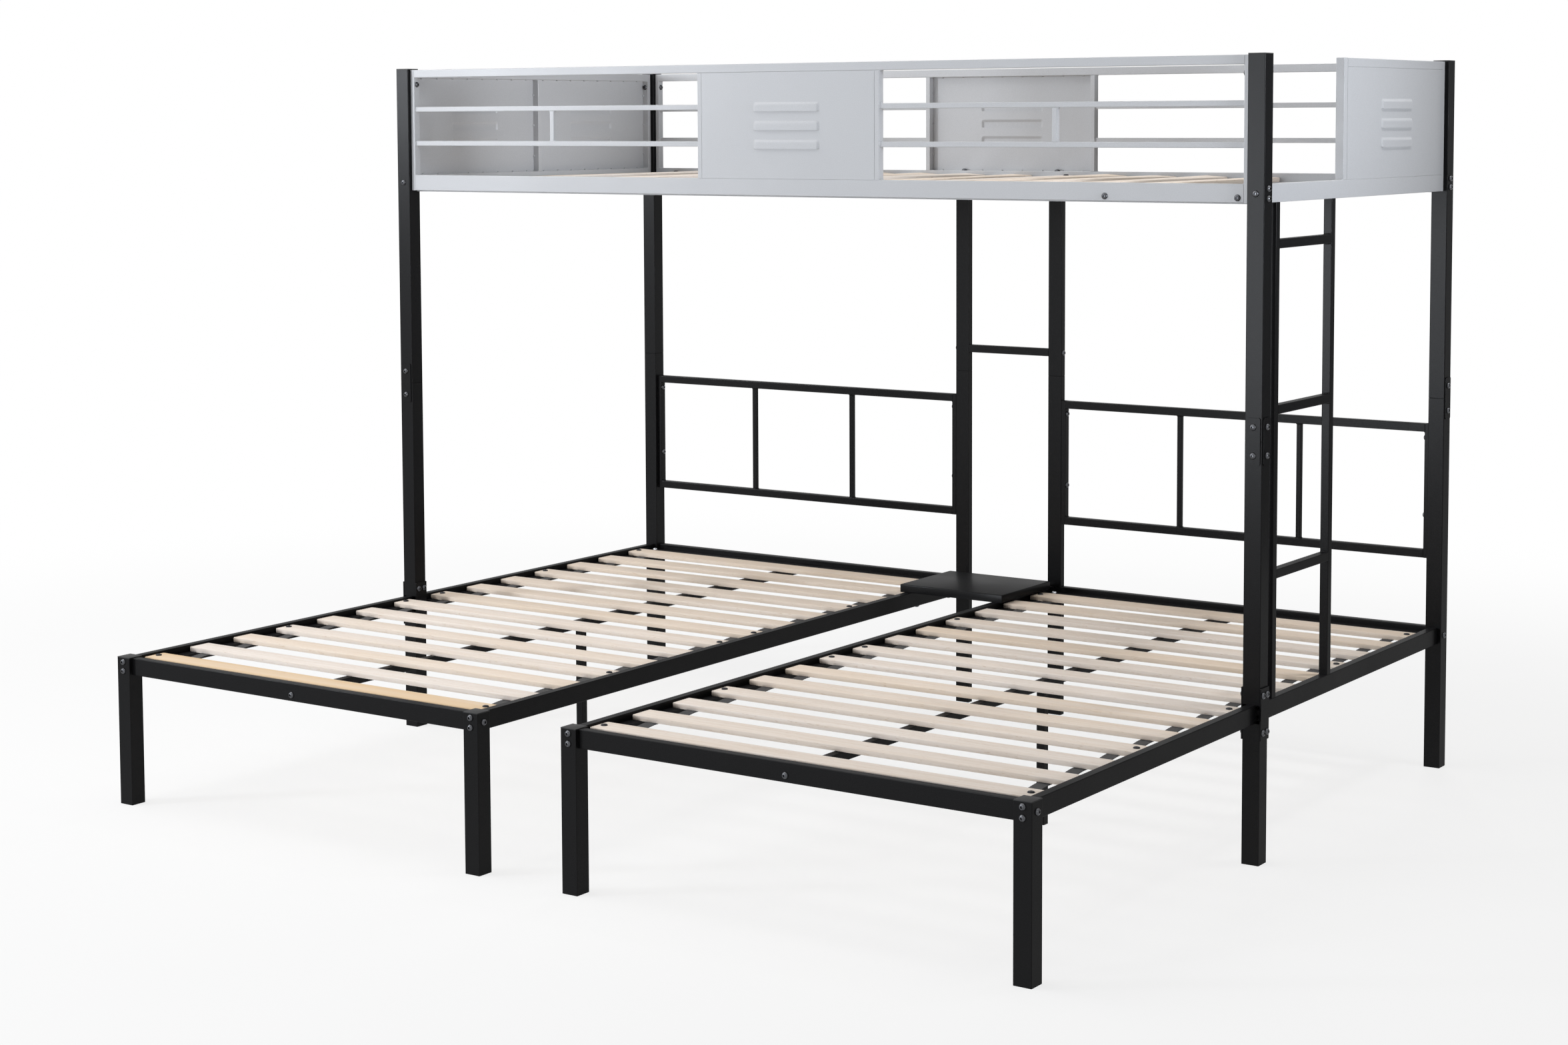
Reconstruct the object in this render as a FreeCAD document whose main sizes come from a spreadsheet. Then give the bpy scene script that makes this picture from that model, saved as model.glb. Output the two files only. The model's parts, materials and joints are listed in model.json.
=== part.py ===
import FreeCAD, Part
import math
import os
import re

import Sketcher

# Triple bunk bed in square steel tube: two single beds stand side by side on the floor, heads to
# the back, and a third bunk lies across both of them behind guard rails with louvred panels.
# +X runs along the upper bunk, +Y to the heads, +Z up, and the origin is on the floor at the middle.

# Every size in millimetres: name, value, what it measures.
SIZES = [
    ("bed_width", 1054.0, "outside width of one lower bed"),
    ("bed_length", 1965.0, "outside length of the lower beds"),
    ("bed_gap", 214.0, "aisle between the two lower beds"),
    ("upper_depth", 1032.0, "outside depth of the upper bunk, from the back"),
    ("post_side", 38.0, "square post tube"),
    ("rail_tall", 38.0, "height of the bed rails' tube"),
    ("rail_thick", 19.0, "thickness of the bed rails' tube"),
    ("bar_side", 19.0, "square tube of top rails, headboards, beams and ladder"),
    ("slim_side", 12.0, "slim tube of stiles and guard bars"),
    ("tube_wall", 1.5, "wall of every tube"),
    ("tube_round", 1.5, "outer corner radius of every tube"),
    ("sheet_thick", 1.5, "sheet of panels and shelf"),
    ("bed_rail_base", 292.0, "floor to the underside of the lower bed rails"),
    ("leg_above", 2.0, "leg end above the rail it carries, filled by the cap"),
    ("seam_height", 866.0, "floor to the joint between lower and upper posts"),
    ("seam_ease", 0.6, "bevel round the post ends at that joint"),
    ("upper_rail_base", 1344.0, "floor to the underside of the upper bunk's rails"),
    ("guard_height", 296.0, "upper rail's underside to the top of the guard"),
    ("post_above", 3.0, "post end above the guard"),
    ("cap_thick", 2.0, "plate of the plastic end caps"),
    ("cap_spigot", 4.0, "part of a cap inside its tube"),
    ("slide_fit", 0.2, "clearance round what slides into a tube"),
    ("slat_width", 58.0, "bed slat"),
    ("slat_thick", 11.0, "bed slat"),
    ("slat_round", 10.0, "corner radius of a slat"),
    ("slat_pitch", 135.0, "slat to slat"),
    ("slat_end_gap", 3.0, "slat end to rail"),
    ("slat_drop", 4.0, "lower slats' top below the rails' top"),
    ("upper_slat_drop", 10.0, "upper slats' top below the rails' top"),
    ("slat_gap_front", 15.0, "bunk post's front face to the slat before it"),
    ("slat_gap_back", 24.0, "bunk post's back face to the slat behind it"),
    ("upper_slat_inset", 64.0, "left end rail to the first upper slat"),
    ("upper_landing", 360.0, "bare end of the upper bunk beside the ladder, at least"),
    ("upper_strip_inset", 255.0, "right end rail to the strip across that bare end"),
    ("ledge_width", 25.0, "angle that carries the slats"),
    ("ledge_tall", 18.0, "web of that angle, against the rail"),
    ("ledge_thick", 2.0, "angle's thickness"),
    ("saddle_gap", 3.0, "angle's end to the saddle plate"),
    ("strap_width", 26.0, "webbing under the slats"),
    ("strap_thick", 1.5, "webbing"),
    ("strap_inset", 40.0, "webbing to the side rail"),
    ("strap_end", 14.0, "webbing's end inside the outermost slats"),
    ("headboard_base", 490.0, "floor to the headboard's lower bar"),
    ("headboard_height", 314.0, "headboard frame"),
    ("crossbar_base", 915.0, "floor to the bar between the middle posts"),
    ("tray_depth", 242.0, "shelf between the beds"),
    ("tray_tall", 20.0, "folded edge of the shelf"),
    ("tray_inset", 70.0, "back of the bed to the shelf"),
    ("tray_overhang", 12.0, "shelf past the rails it sits on"),
    ("tray_lip", 40.0, "shelf's return lip on each rail"),
    ("tray_bolts", 154.0, "spacing of the shelf's bolts on a rail"),
    ("panel_width", 491.0, "louvred centre panel, over its stiles"),
    ("guard_bars", 83.5, "spacing of the two slim guard bars"),
    ("access_width", 378.0, "way in at the right end of the upper bunk"),
    ("louvre_width", 180.0, "louvre"),
    ("louvre_tall", 21.5, "louvre"),
    ("louvre_pitch", 42.0, "louvre to louvre"),
    ("louvre_out", 3.5, "louvre's face in front of its sheet"),
    ("louvre_taper", 9.0, "slope at each end of a louvre"),
    ("louvre_face", 13.5, "height of a louvre's flat face"),
    ("ladder_width", 299.0, "ladder over its stiles"),
    ("ladder_gap", 41.0, "right bunk post to the ladder"),
    ("rung_pitch", 337.5, "rung to rung"),
    ("rung_top_gap", 84.5, "top rung's centre below the upper rail"),
    ("plate_width", 30.0, "plate over a post joint"),
    ("plate_tall", 96.0, "plate over a post joint"),
    ("plate_thick", 2.0, "plate over a post joint"),
    ("plate_round", 4.0, "corner radius of the plates"),
    ("plate_bolts", 58.0, "bolt spacing on a joint plate"),
    ("sleeve_length", 150.0, "sleeve inside a post joint"),
    ("saddle_tall", 107.0, "plate beside a bunk post's saddle joint"),
    ("saddle_thick", 3.0, "saddle plate"),
    ("saddle_round", 1.0, "corner radius of a saddle plate"),
    ("saddle_bolts_tall", 76.5, "bolt rows on a saddle plate"),
    ("saddle_bolts_wide", 19.4, "bolt columns on a saddle plate"),
    ("spacer_tall", 20.0, "packing tube between rail and saddle plate"),
    ("plug_length", 28.0, "threaded plug in a rail's end"),
    ("bolt_radius", 4.0, "bolt shank"),
    ("bolt_play", 0.3, "radial clearance of a bolt hole"),
    ("head_radius", 7.0, "button head"),
    ("head_tall", 4.5, "button head"),
    ("head_slope", 2.5, "run of the slope round a button head"),
    ("head_slope_tall", 2.0, "drop of that slope"),
    ("bolt_pair", 20.0, "spacing of paired rail bolts"),
    ("bolt_tip", 10.0, "bolt past the wall it is threaded in"),
    ("stile_bolt_drop", 36.0, "guard stile's bolt below the guard's top"),
    ("headboard_bolt_drop", 33.0, "upper headboard bolt below its top"),
    ("headboard_bolt_rise", 100.0, "lower headboard bolt above its base"),
    ("spare_bolt_inset", 63.0, "first spare bolt of the front rail from the right end"),
    ("spare_bolt_rise", 10.0, "spare bolts above the rail's underside"),
    ("screw_radius", 2.5, "slat screw"),
    ("screw_head_tall", 3.0, "slat screw's head"),
    ("screw_slope", 2.0, "run of the slope round a screw head"),
    ("screw_slope_tall", 1.6, "drop of that slope"),
    ("screw_inset", 15.0, "slat screw from the slat's end"),
]

doc = FreeCAD.newDocument("TripleBunkBed")
sheet = doc.addObject("Spreadsheet::Sheet", "Sizes")
for row, (alias, value, note) in enumerate(SIZES, start=1):
    sheet.set(f"A{row}", alias)
    sheet.set(f"B{row}", str(value))
    sheet.set(f"C{row}", note)
    sheet.setAlias(f"B{row}", alias)
doc.recompute()

FUNCTIONS = ("floor",)
NEAR = 1e-6
ROUGH = 10.0
TURN_TO = {
    "+Z": FreeCAD.Rotation(),
    "-Z": FreeCAD.Rotation(FreeCAD.Vector(1, 0, 0), 180),
    "+X": FreeCAD.Rotation(FreeCAD.Vector(0, 1, 0), 90),
    "-X": FreeCAD.Rotation(FreeCAD.Vector(0, 1, 0), -90),
    "+Y": FreeCAD.Rotation(FreeCAD.Vector(1, 0, 0), -90),
    "-Y": FreeCAD.Rotation(FreeCAD.Vector(1, 0, 0), 90),
}
OPPOSITE = {"+X": "-X", "-X": "+X", "+Y": "-Y", "-Y": "+Y", "+Z": "-Z", "-Z": "+Z"}
nodes = {}
drills = {}


def formula(text):
    """Point every size word of a formula at its cell of the sheet."""
    return re.sub(r"[a-z_]+", lambda word: word[0] if word[0] in FUNCTIONS else f"Sizes.{word[0]}", text)


def bind(item, prop, text):
    item.setExpression(prop, formula(text))


def place(item, at, rotation=None):
    item.Placement = FreeCAD.Placement(FreeCAD.Vector(), rotation or FreeCAD.Rotation())
    for letter, text in zip("xyz", at):
        bind(item, f"Placement.Base.{letter}", text)


def file_under(node, item):
    nodes.setdefault(node, []).append(item)
    return item


def origin_plane(body, role):
    return next(plane for plane in body.Origin.OriginFeatures if plane.Role == role)


def new_body(name):
    return doc.addObject("PartDesign::Body", name)


def new_sketch(body, name, role="XY_Plane", offset=None):
    sketch = body.newObject("Sketcher::SketchObject", name)
    sketch.AttachmentSupport = [(origin_plane(body, role), "")]
    sketch.MapMode = "FlatFace"
    if offset:
        bind(sketch, "AttachmentOffset.Base.z", offset)
    return sketch


def rectangle(sketch, wide, tall, low=None):
    """Rectangle about the sketch's origin, or with its lower edge at the height low, below the origin."""
    corners = [(-1, -3), (1, -3), (1, -1), (-1, -1)] if low else [(-1, -1), (1, -1), (1, 1), (-1, 1)]
    points = [FreeCAD.Vector(ROUGH * x, ROUGH * y, 0) for x, y in corners]
    lines = [sketch.addGeometry(Part.LineSegment(points[i], points[(i + 1) % 4])) for i in range(4)]
    for i in range(4):
        sketch.addConstraint(Sketcher.Constraint("Coincident", lines[i], 2, lines[(i + 1) % 4], 1))
    for i in (1, 3):
        sketch.addConstraint(Sketcher.Constraint("Vertical", lines[i]))
    sketch.addConstraint(Sketcher.Constraint("Horizontal", lines[2]))
    spans = [("DistanceX", lines[0], 1, lines[0], 2, wide), ("DistanceY", lines[1], 1, lines[1], 2, tall)]
    if low:
        sketch.addConstraint(Sketcher.Constraint("Symmetric", lines[0], 1, lines[0], 2, -2))
        spans.append(("DistanceY", lines[0], 1, -1, 1, f"0 - ({low})"))
    else:
        sketch.addConstraint(Sketcher.Constraint("Symmetric", lines[0], 1, lines[2], 1, -1, 1))
        sketch.addConstraint(Sketcher.Constraint("Horizontal", lines[0]))
    measure(sketch, spans)


def measure(sketch, spans):
    """Dimension a sketch: each span is a kind of distance, its two points and the formula that it follows."""
    for kind, first, first_end, last, last_end, text in spans:
        number = sketch.addConstraint(Sketcher.Constraint(kind, first, first_end, last, last_end, ROUGH))
        bind(sketch, f"Constraints[{number}]", text)


def pad(body, sketch, length, reverse=False):
    feature = body.newObject("PartDesign::Pad", sketch.Name + "Pad")
    feature.Profile = sketch
    feature.Reversed = reverse
    bind(feature, "Length", length)
    return feature


def round_long_edges(body, radius):
    """Fillet the outer edges that run along the body's own Z axis."""
    doc.recompute([body])
    base = body.Tip
    box = base.Shape.BoundBox
    names = []
    for number, edge in enumerate(base.Shape.Edges, start=1):
        first, last = edge.Vertexes[0].Point, edge.Vertexes[-1].Point
        upright = abs(first.x - last.x) < NEAR and abs(first.y - last.y) < NEAR
        outer = abs(abs(first.x) - box.XMax) < NEAR and abs(abs(first.y) - box.YMax) < NEAR
        if upright and outer:
            names.append(f"Edge{number}")
    fillet = body.newObject("PartDesign::Fillet", body.Name + "Round")
    fillet.Base = (base, names)
    bind(fillet, "Radius", radius)


def bevel_end(body, far):
    """Bevel the outer edges round one end of a tube along the body's own Z axis."""
    doc.recompute([body])
    base = body.Tip
    level = base.Shape.BoundBox.ZMax if far else base.Shape.BoundBox.ZMin
    end = next(face for face in base.Shape.Faces
               if abs(face.BoundBox.ZMin - level) < NEAR and abs(face.BoundBox.ZMax - level) < NEAR)
    rim = end.OuterWire.Edges
    names = [f"Edge{number}" for number, edge in enumerate(base.Shape.Edges, start=1)
             if any(edge.isSame(other) for other in rim)]
    bevel = body.newObject("PartDesign::Chamfer", body.Name + "Bevel")
    bevel.Base = (base, names)
    bind(bevel, "Size", "seam_ease")


def tube(name, along, section, length, at, bevelled=None):
    """Hollow tube from the centre of its first end; section is X by Y, Z by Y or X by Z across its axis."""
    body = new_body(name)
    profile = new_sketch(body, name + "Section")
    for shrink in ("0", "2 * tube_wall"):
        rectangle(profile, f"{section[0]} - {shrink}", f"{section[1]} - {shrink}")
    pad(body, profile, length)
    round_long_edges(body, "tube_round")
    if bevelled:
        bevel_end(body, bevelled == "far")
    place(body, at, TURN_TO[along])
    return body


def rounded_plate(name, along, section, thick, radius, at):
    """Flat plate with rounded corners, its sheet square to the axis along."""
    body = new_body(name)
    profile = new_sketch(body, name + "Outline")
    rectangle(profile, *section)
    pad(body, profile, thick)
    round_long_edges(body, radius)
    place(body, at, TURN_TO[along])
    return body


def block(name, sides, at):
    """Plain box from its low corner."""
    box = doc.addObject("Part::Box", name)
    for prop, text in zip(("Length", "Width", "Height"), sides):
        bind(box, prop, text)
    place(box, at)
    return box


def cut(name, base, tool):
    result = doc.addObject("Part::Cut", name)
    result.Base = base
    result.Tool = tool
    return result


def group(name, items):
    result = doc.addObject("Part::Compound", name)
    result.Links = items
    return result


def copy_of(name, original, at, facing):
    link = doc.addObject("App::Link", name)
    link.LinkedObject = original
    place(link, at, TURN_TO[facing])
    return link


def signed(side, text):
    return f"{side} * ({text})"


def shifted(start, *steps):
    return " + ".join([f"({start})"] + [f"({step})" for step in steps])


# Levels and lines that pieces share. A side of -1 is left, 1 is right.
SIDES = {"left": -1, "right": 1}
HALF_LENGTH = "bed_width + bed_gap / 2"
SETBACK = "(post_side - rail_thick) / 2"
RAIL_INNER = f"({SETBACK} + rail_thick)"
BACK = "bed_length / 2"
FOOT_Y = "post_side / 2 - bed_length / 2"
HEAD_Y = "bed_length / 2 - post_side / 2"
BUNK_Y = "bed_length / 2 - upper_depth + post_side / 2"
RAIL_TOP = "(bed_rail_base + rail_tall)"
RAIL_Z = "(bed_rail_base + rail_tall / 2)"
SLAT_BASE = f"({RAIL_TOP} - slat_drop - slat_thick)"
UPPER_TOP = "(upper_rail_base + rail_tall)"
UPPER_Z = "(upper_rail_base + rail_tall / 2)"
UPPER_SLAT_BASE = f"({UPPER_TOP} - upper_slat_drop - slat_thick)"
GUARD_TOP = "(upper_rail_base + guard_height)"
PANEL_TALL = "(guard_height - rail_tall - bar_side)"
PANEL_MID = f"({UPPER_TOP} + {PANEL_TALL} / 2)"
CLEAR_LENGTH = f"(2 * ({HALF_LENGTH}) - 2 * post_side)"
CLEAR_DEPTH = "(upper_depth - 2 * post_side)"
POST = ("post_side", "post_side")
RAIL = ("rail_tall", "rail_thick")
RAIL_ALONG_Y = ("rail_thick", "rail_tall")
BAR = ("bar_side", "bar_side")
SLIM = ("slim_side", "slim_side")
STILE = ("slim_side", "rail_thick")
STILE_AT_END = ("rail_thick", "slim_side")

X_POST = {side: signed(side, f"{HALF_LENGTH} - post_side / 2") for side in SIDES.values()}
X_INNER = {side: signed(side, "bed_gap / 2 + post_side / 2") for side in SIDES.values()}
X_MIDDLE = {side: signed(side, f"bed_gap / 2 + {SETBACK} + post_side / 2") for side in SIDES.values()}
X_BED = {side: signed(side, "bed_gap / 2 + bed_width / 2") for side in SIDES.values()}
TOWARDS = {-1: "-X", 1: "+X"}

# Fasteners: one turned shape per length, copied to every place where that bolt is used.
BOLT_LENGTHS = {
    "rail_bolt": "post_side + plug_length - bolt_tip",
    "middle_bolt": "rail_thick + plug_length - bolt_tip",
    "upper_bolt": "post_side + slim_side + plug_length - bolt_tip",
    "standing_bolt": "rail_tall + plug_length - bolt_tip",
    "stile_bolt": "slim_side + tube_wall + bolt_tip",
    "plate_bolt": "plate_thick + 2 * tube_wall + bolt_tip",
    "saddle_bolt": "saddle_thick + tube_wall + bolt_tip",
    "tray_bolt": "rail_tall + sheet_thick + bolt_tip / 2",
    "strip_bolt": "2 * ledge_thick + bolt_tip / 2",
    "spare_bolt": "tube_wall + bolt_tip / 4",
    "slat_screw": "slat_thick + ledge_thick + bolt_tip / 2",
}


def turned_bolt(name, shank, length, head, slope):
    """Button-headed fastener standing on its seat: head above the local XY plane, shank below it."""
    body = new_body(name)
    profile = new_sketch(body, name + "Half", "XZ_Plane")
    corners = [(0, -9), (2, -9), (2, 0), (5, 0), (5, 1), (3, 3), (0, 3)]
    points = [FreeCAD.Vector(x, y, 0) for x, y in corners]
    count = len(points)
    lines = [profile.addGeometry(Part.LineSegment(points[i], points[(i + 1) % count])) for i in range(count)]
    for i in range(count):
        profile.addConstraint(Sketcher.Constraint("Coincident", lines[i], 2, lines[(i + 1) % count], 1))
    for i in (0, 2, 5):
        profile.addConstraint(Sketcher.Constraint("Horizontal", lines[i]))
    for i in (1, 3):
        profile.addConstraint(Sketcher.Constraint("Vertical", lines[i]))
    profile.addConstraint(Sketcher.Constraint("PointOnObject", lines[0], 1, -2))
    profile.addConstraint(Sketcher.Constraint("PointOnObject", lines[6], 1, -2))
    profile.addConstraint(Sketcher.Constraint("PointOnObject", lines[2], 1, -1))
    spans = [
        ("DistanceX", lines[0], 1, lines[0], 2, shank),
        ("DistanceY", lines[1], 1, lines[1], 2, length),
        ("DistanceX", -1, 1, lines[2], 2, head[0]),
        ("DistanceY", lines[2], 1, lines[6], 1, head[1]),
        ("DistanceX", lines[4], 2, lines[4], 1, slope[0]),
        ("DistanceY", lines[4], 1, lines[4], 2, slope[1]),
    ]
    measure(profile, spans)
    turn = body.newObject("PartDesign::Revolution", name + "Turn")
    turn.Profile = profile
    turn.ReferenceAxis = (profile, ["V_Axis"])
    turn.Angle = 360
    return body


patterns = {}
for kind, text in BOLT_LENGTHS.items():
    if kind == "slat_screw":
        patterns[kind] = turned_bolt(kind, "screw_radius", text, ("head_radius", "screw_head_tall"),
                                     ("screw_slope", "screw_slope_tall"))
    else:
        patterns[kind] = turned_bolt(kind, "bolt_radius", text, ("head_radius", "head_tall"),
                                     ("head_slope", "head_slope_tall"))


def bolt(kind, at, facing, through):
    """Put a bolt with its head's seat at a point, and mark the hole it needs in each piece it passes."""
    node = "slat_screws" if kind == "slat_screw" else "frame_bolts"
    number = len(nodes.get(node, [])) + 1
    file_under(node, copy_of(f"{kind}_{number}", patterns[kind], at, facing))
    drill = doc.addObject("Part::Cylinder", f"{kind}_{number}_hole")
    bind(drill, "Radius", ("screw_radius" if kind == "slat_screw" else "bolt_radius") + " + bolt_play")
    bind(drill, "Height", BOLT_LENGTHS[kind] + " + bolt_play")
    place(drill, at, TURN_TO[OPPOSITE[facing]])
    for piece in through:
        drills.setdefault(piece.Name, []).append(drill)


def end_plug(name, along, section, at):
    """Threaded plug that fills a tube's end, from the end's centre inwards along the tube."""
    inside = [f"{side} - 2 * tube_wall - 2 * slide_fit" for side in section]
    body = new_body(name)
    profile = new_sketch(body, name + "Section")
    rectangle(profile, *inside)
    pad(body, profile, "plug_length")
    place(body, at, TURN_TO[along])
    return file_under("rail_end_plugs", body)


# End caps: a plate over the tube's end and a spigot inside it.
cap = new_body("cap")
cap_plate = new_sketch(cap, "CapPlate")
rectangle(cap_plate, *POST)
pad(cap, cap_plate, "cap_thick")
round_long_edges(cap, "tube_round")
cap_spigot = new_sketch(cap, "CapSpigot")
rectangle(cap_spigot, *[f"{side} - 2 * tube_wall - 2 * slide_fit" for side in POST])
pad(cap, cap_spigot, "cap_spigot", reverse=True)


def capped_top(name, at):
    file_under("post_caps", copy_of(name, cap, at, "+Z"))


def corner_bolts(crossed, lengthways, sideways, kind):
    """Two bolts along the bed and one across it, which tie two bed rails to a leg."""
    x, y_face, y_facing = lengthways
    for step in ("bolt_pair / 2", "0 - bolt_pair / 2"):
        bolt(kind, (x, y_face, shifted(RAIL_Z, step)), y_facing, crossed[0])
    y, x_face, x_facing = sideways
    bolt("rail_bolt", (x_face, y, RAIL_Z), x_facing, crossed[1])


# Lower beds: legs, head posts, middle posts and the four rails of each bed.
LEG_TUBE = f"{RAIL_TOP} + leg_above - cap_thick"
UPPER_POST = f"{GUARD_TOP} + post_above - cap_thick - seam_height"
MIDDLE = ("post_side", "rail_thick")
SIDE_RAIL = "bed_length - 2 * post_side"
END_RAIL = f"bed_width - 2 * post_side - {SETBACK}"
posts = {}
rails = {}
for word, side in SIDES.items():
    outward, inward = TOWARDS[side], TOWARDS[-side]
    outer_face = signed(side, HALF_LENGTH)
    inner_face = signed(side, "bed_gap / 2")
    middle_face = signed(side, f"bed_gap / 2 + {SETBACK}")
    middle_far_face = signed(side, f"bed_gap / 2 + {SETBACK} + post_side")

    outer_leg = tube(f"{word}_front_outer_leg", "+Z", POST, LEG_TUBE, (X_POST[side], FOOT_Y, "0"))
    inner_leg = tube(f"{word}_front_inner_leg", "+Z", POST, LEG_TUBE, (X_INNER[side], FOOT_Y, "0"))
    head_low = tube(f"{word}_head_post_lower", "+Z", POST, "seam_height",
                    (X_POST[side], HEAD_Y, "0"), "far")
    head_high = tube(f"{word}_head_post_upper", "+Z", POST, UPPER_POST,
                     (X_POST[side], HEAD_Y, "seam_height"), "near")
    middle_low = tube(f"{word}_middle_post_lower", "+Z", MIDDLE, "seam_height",
                      (X_MIDDLE[side], HEAD_Y, "0"), "far")
    middle_high = tube(f"{word}_middle_post_upper", "+Z", MIDDLE, "upper_rail_base - seam_height",
                       (X_MIDDLE[side], HEAD_Y, "seam_height"), "near")
    foot = tube(f"{word}_bunk_post_foot", "+Z", POST, "bed_rail_base", (X_POST[side], BUNK_Y, "0"))
    bunk_low = tube(f"{word}_bunk_post_lower", "+Z", POST, f"seam_height - {RAIL_TOP}",
                    (X_POST[side], BUNK_Y, RAIL_TOP), "far")
    bunk_high = tube(f"{word}_bunk_post_upper", "+Z", POST, UPPER_POST,
                     (X_POST[side], BUNK_Y, "seam_height"), "near")
    for piece in (outer_leg, inner_leg, head_low, head_high, middle_low, middle_high, foot,
                  bunk_low, bunk_high):
        file_under(piece.Name, piece)
    posts[side] = {"foot": foot}
    joints = (("head", X_POST[side], HEAD_Y, POST, head_low, head_high),
              ("bunk", X_POST[side], BUNK_Y, POST, bunk_low, bunk_high),
              ("middle", X_MIDDLE[side], HEAD_Y, MIDDLE, middle_low, middle_high))
    for name, x, y, section, low, high in joints:
        inside = tuple(f"({wide} - 2 * tube_wall - 2 * slide_fit)" for wide in section)
        sleeve = file_under("post_joint_sleeves", tube(f"{word}_{name}_sleeve", "+Z", inside, "sleeve_length",
                                                       (x, y, "seam_height - sleeve_length / 2")))
        posts[side][name] = [low, sleeve, high]
    tops = (("outer_leg", X_POST[side], FOOT_Y, LEG_TUBE),
            ("inner_leg", X_INNER[side], FOOT_Y, LEG_TUBE),
            ("head_post", X_POST[side], HEAD_Y, f"seam_height + {UPPER_POST}"),
            ("bunk_post", X_POST[side], BUNK_Y, f"seam_height + {UPPER_POST}"))
    for name, x, y, z in tops:
        capped_top(f"{word}_{name}_cap", (x, y, z))

    outer_rail = tube(f"{word}_outer_side_rail", "+Y", RAIL_ALONG_Y, SIDE_RAIL,
                      (X_POST[side], "post_side - bed_length / 2", RAIL_Z))
    inner_rail = tube(f"{word}_inner_side_rail", "+Y", RAIL_ALONG_Y, f"{SIDE_RAIL} + {SETBACK}",
                      (X_INNER[side], "post_side - bed_length / 2", RAIL_Z))
    low_x = signed(side, f"{HALF_LENGTH} - post_side")
    foot_rail = tube(f"{word}_foot_rail", inward, RAIL, "bed_width - 2 * post_side", (low_x, FOOT_Y, RAIL_Z))
    head_rail = tube(f"{word}_head_rail", inward, RAIL, END_RAIL, (low_x, HEAD_Y, RAIL_Z))
    for piece in (outer_rail, inner_rail, foot_rail, head_rail):
        file_under(piece.Name, piece)
    rails[side] = {"outer": outer_rail, "inner": inner_rail, "foot": foot_rail, "head": head_rail}

    front_end = "post_side - bed_length / 2"
    plugs = {
        "outer_foot": end_plug(f"{word}_outer_foot_plug", "+Y", RAIL_ALONG_Y,
                               (X_POST[side], front_end, RAIL_Z)),
        "inner_foot": end_plug(f"{word}_inner_foot_plug", "+Y", RAIL_ALONG_Y,
                               (X_INNER[side], front_end, RAIL_Z)),
        "outer_head": end_plug(f"{word}_outer_head_plug", "-Y", RAIL_ALONG_Y,
                               (X_POST[side], "bed_length / 2 - post_side", RAIL_Z)),
        "inner_head": end_plug(f"{word}_inner_head_plug", "-Y", RAIL_ALONG_Y,
                               (X_INNER[side], f"bed_length / 2 - {RAIL_INNER}", RAIL_Z)),
        "foot_out": end_plug(f"{word}_foot_out_plug", inward, RAIL, (low_x, FOOT_Y, RAIL_Z)),
        "foot_in": end_plug(f"{word}_foot_in_plug", outward, RAIL,
                            (signed(side, "bed_gap / 2 + post_side"), FOOT_Y, RAIL_Z)),
        "head_out": end_plug(f"{word}_head_out_plug", inward, RAIL, (low_x, HEAD_Y, RAIL_Z)),
        "head_in": end_plug(f"{word}_head_in_plug", outward, RAIL, (middle_far_face, HEAD_Y, RAIL_Z)),
    }
    corner_bolts(([outer_leg, plugs["outer_foot"]], [outer_leg, plugs["foot_out"]]),
                 (X_POST[side], "0 - bed_length / 2", "-Y"), (FOOT_Y, outer_face, outward), "rail_bolt")
    corner_bolts(([inner_leg, plugs["inner_foot"]], [inner_leg, plugs["foot_in"]]),
                 (X_INNER[side], "0 - bed_length / 2", "-Y"), (FOOT_Y, inner_face, inward), "rail_bolt")
    corner_bolts(([head_low, plugs["outer_head"]], [head_low, plugs["head_out"]]),
                 (X_POST[side], BACK, "+Y"), (HEAD_Y, outer_face, outward), "rail_bolt")
    corner_bolts(([middle_low, plugs["inner_head"]], [middle_low, plugs["head_in"]]),
                 (X_INNER[side], f"{BACK} - {SETBACK}", "+Y"), (HEAD_Y, middle_face, inward), "middle_bolt")


# Centre beams under the slats, each on one leg at mid-length.
BEAM_Z = f"{SLAT_BASE} - bar_side / 2"
BEAM_START = f"{RAIL_INNER} - bed_length / 2"
for word, side in SIDES.items():
    beam = tube(f"{word}_centre_beam", "+Y", BAR, f"bed_length - 2 * {RAIL_INNER}",
                (X_BED[side], BEAM_START, BEAM_Z))
    file_under(beam.Name, beam)
    stand = tube(f"{word}_centre_leg", "+Z", BAR, f"{SLAT_BASE} - bar_side", (X_BED[side], "0", "0"))
    file_under(stand.Name, stand)
    near_plug = end_plug(f"{word}_beam_foot_plug", "+Y", BAR, (X_BED[side], BEAM_START, BEAM_Z))
    far_plug = end_plug(f"{word}_beam_head_plug", "-Y", BAR, (X_BED[side], f"0 - ({BEAM_START})", BEAM_Z))
    bolt("middle_bolt", (X_BED[side], f"{SETBACK} - bed_length / 2", BEAM_Z), "-Y",
         [rails[side]["foot"], near_plug])
    bolt("middle_bolt", (X_BED[side], f"bed_length / 2 - {SETBACK}", BEAM_Z), "+Y",
         [rails[side]["head"], far_plug])


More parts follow.
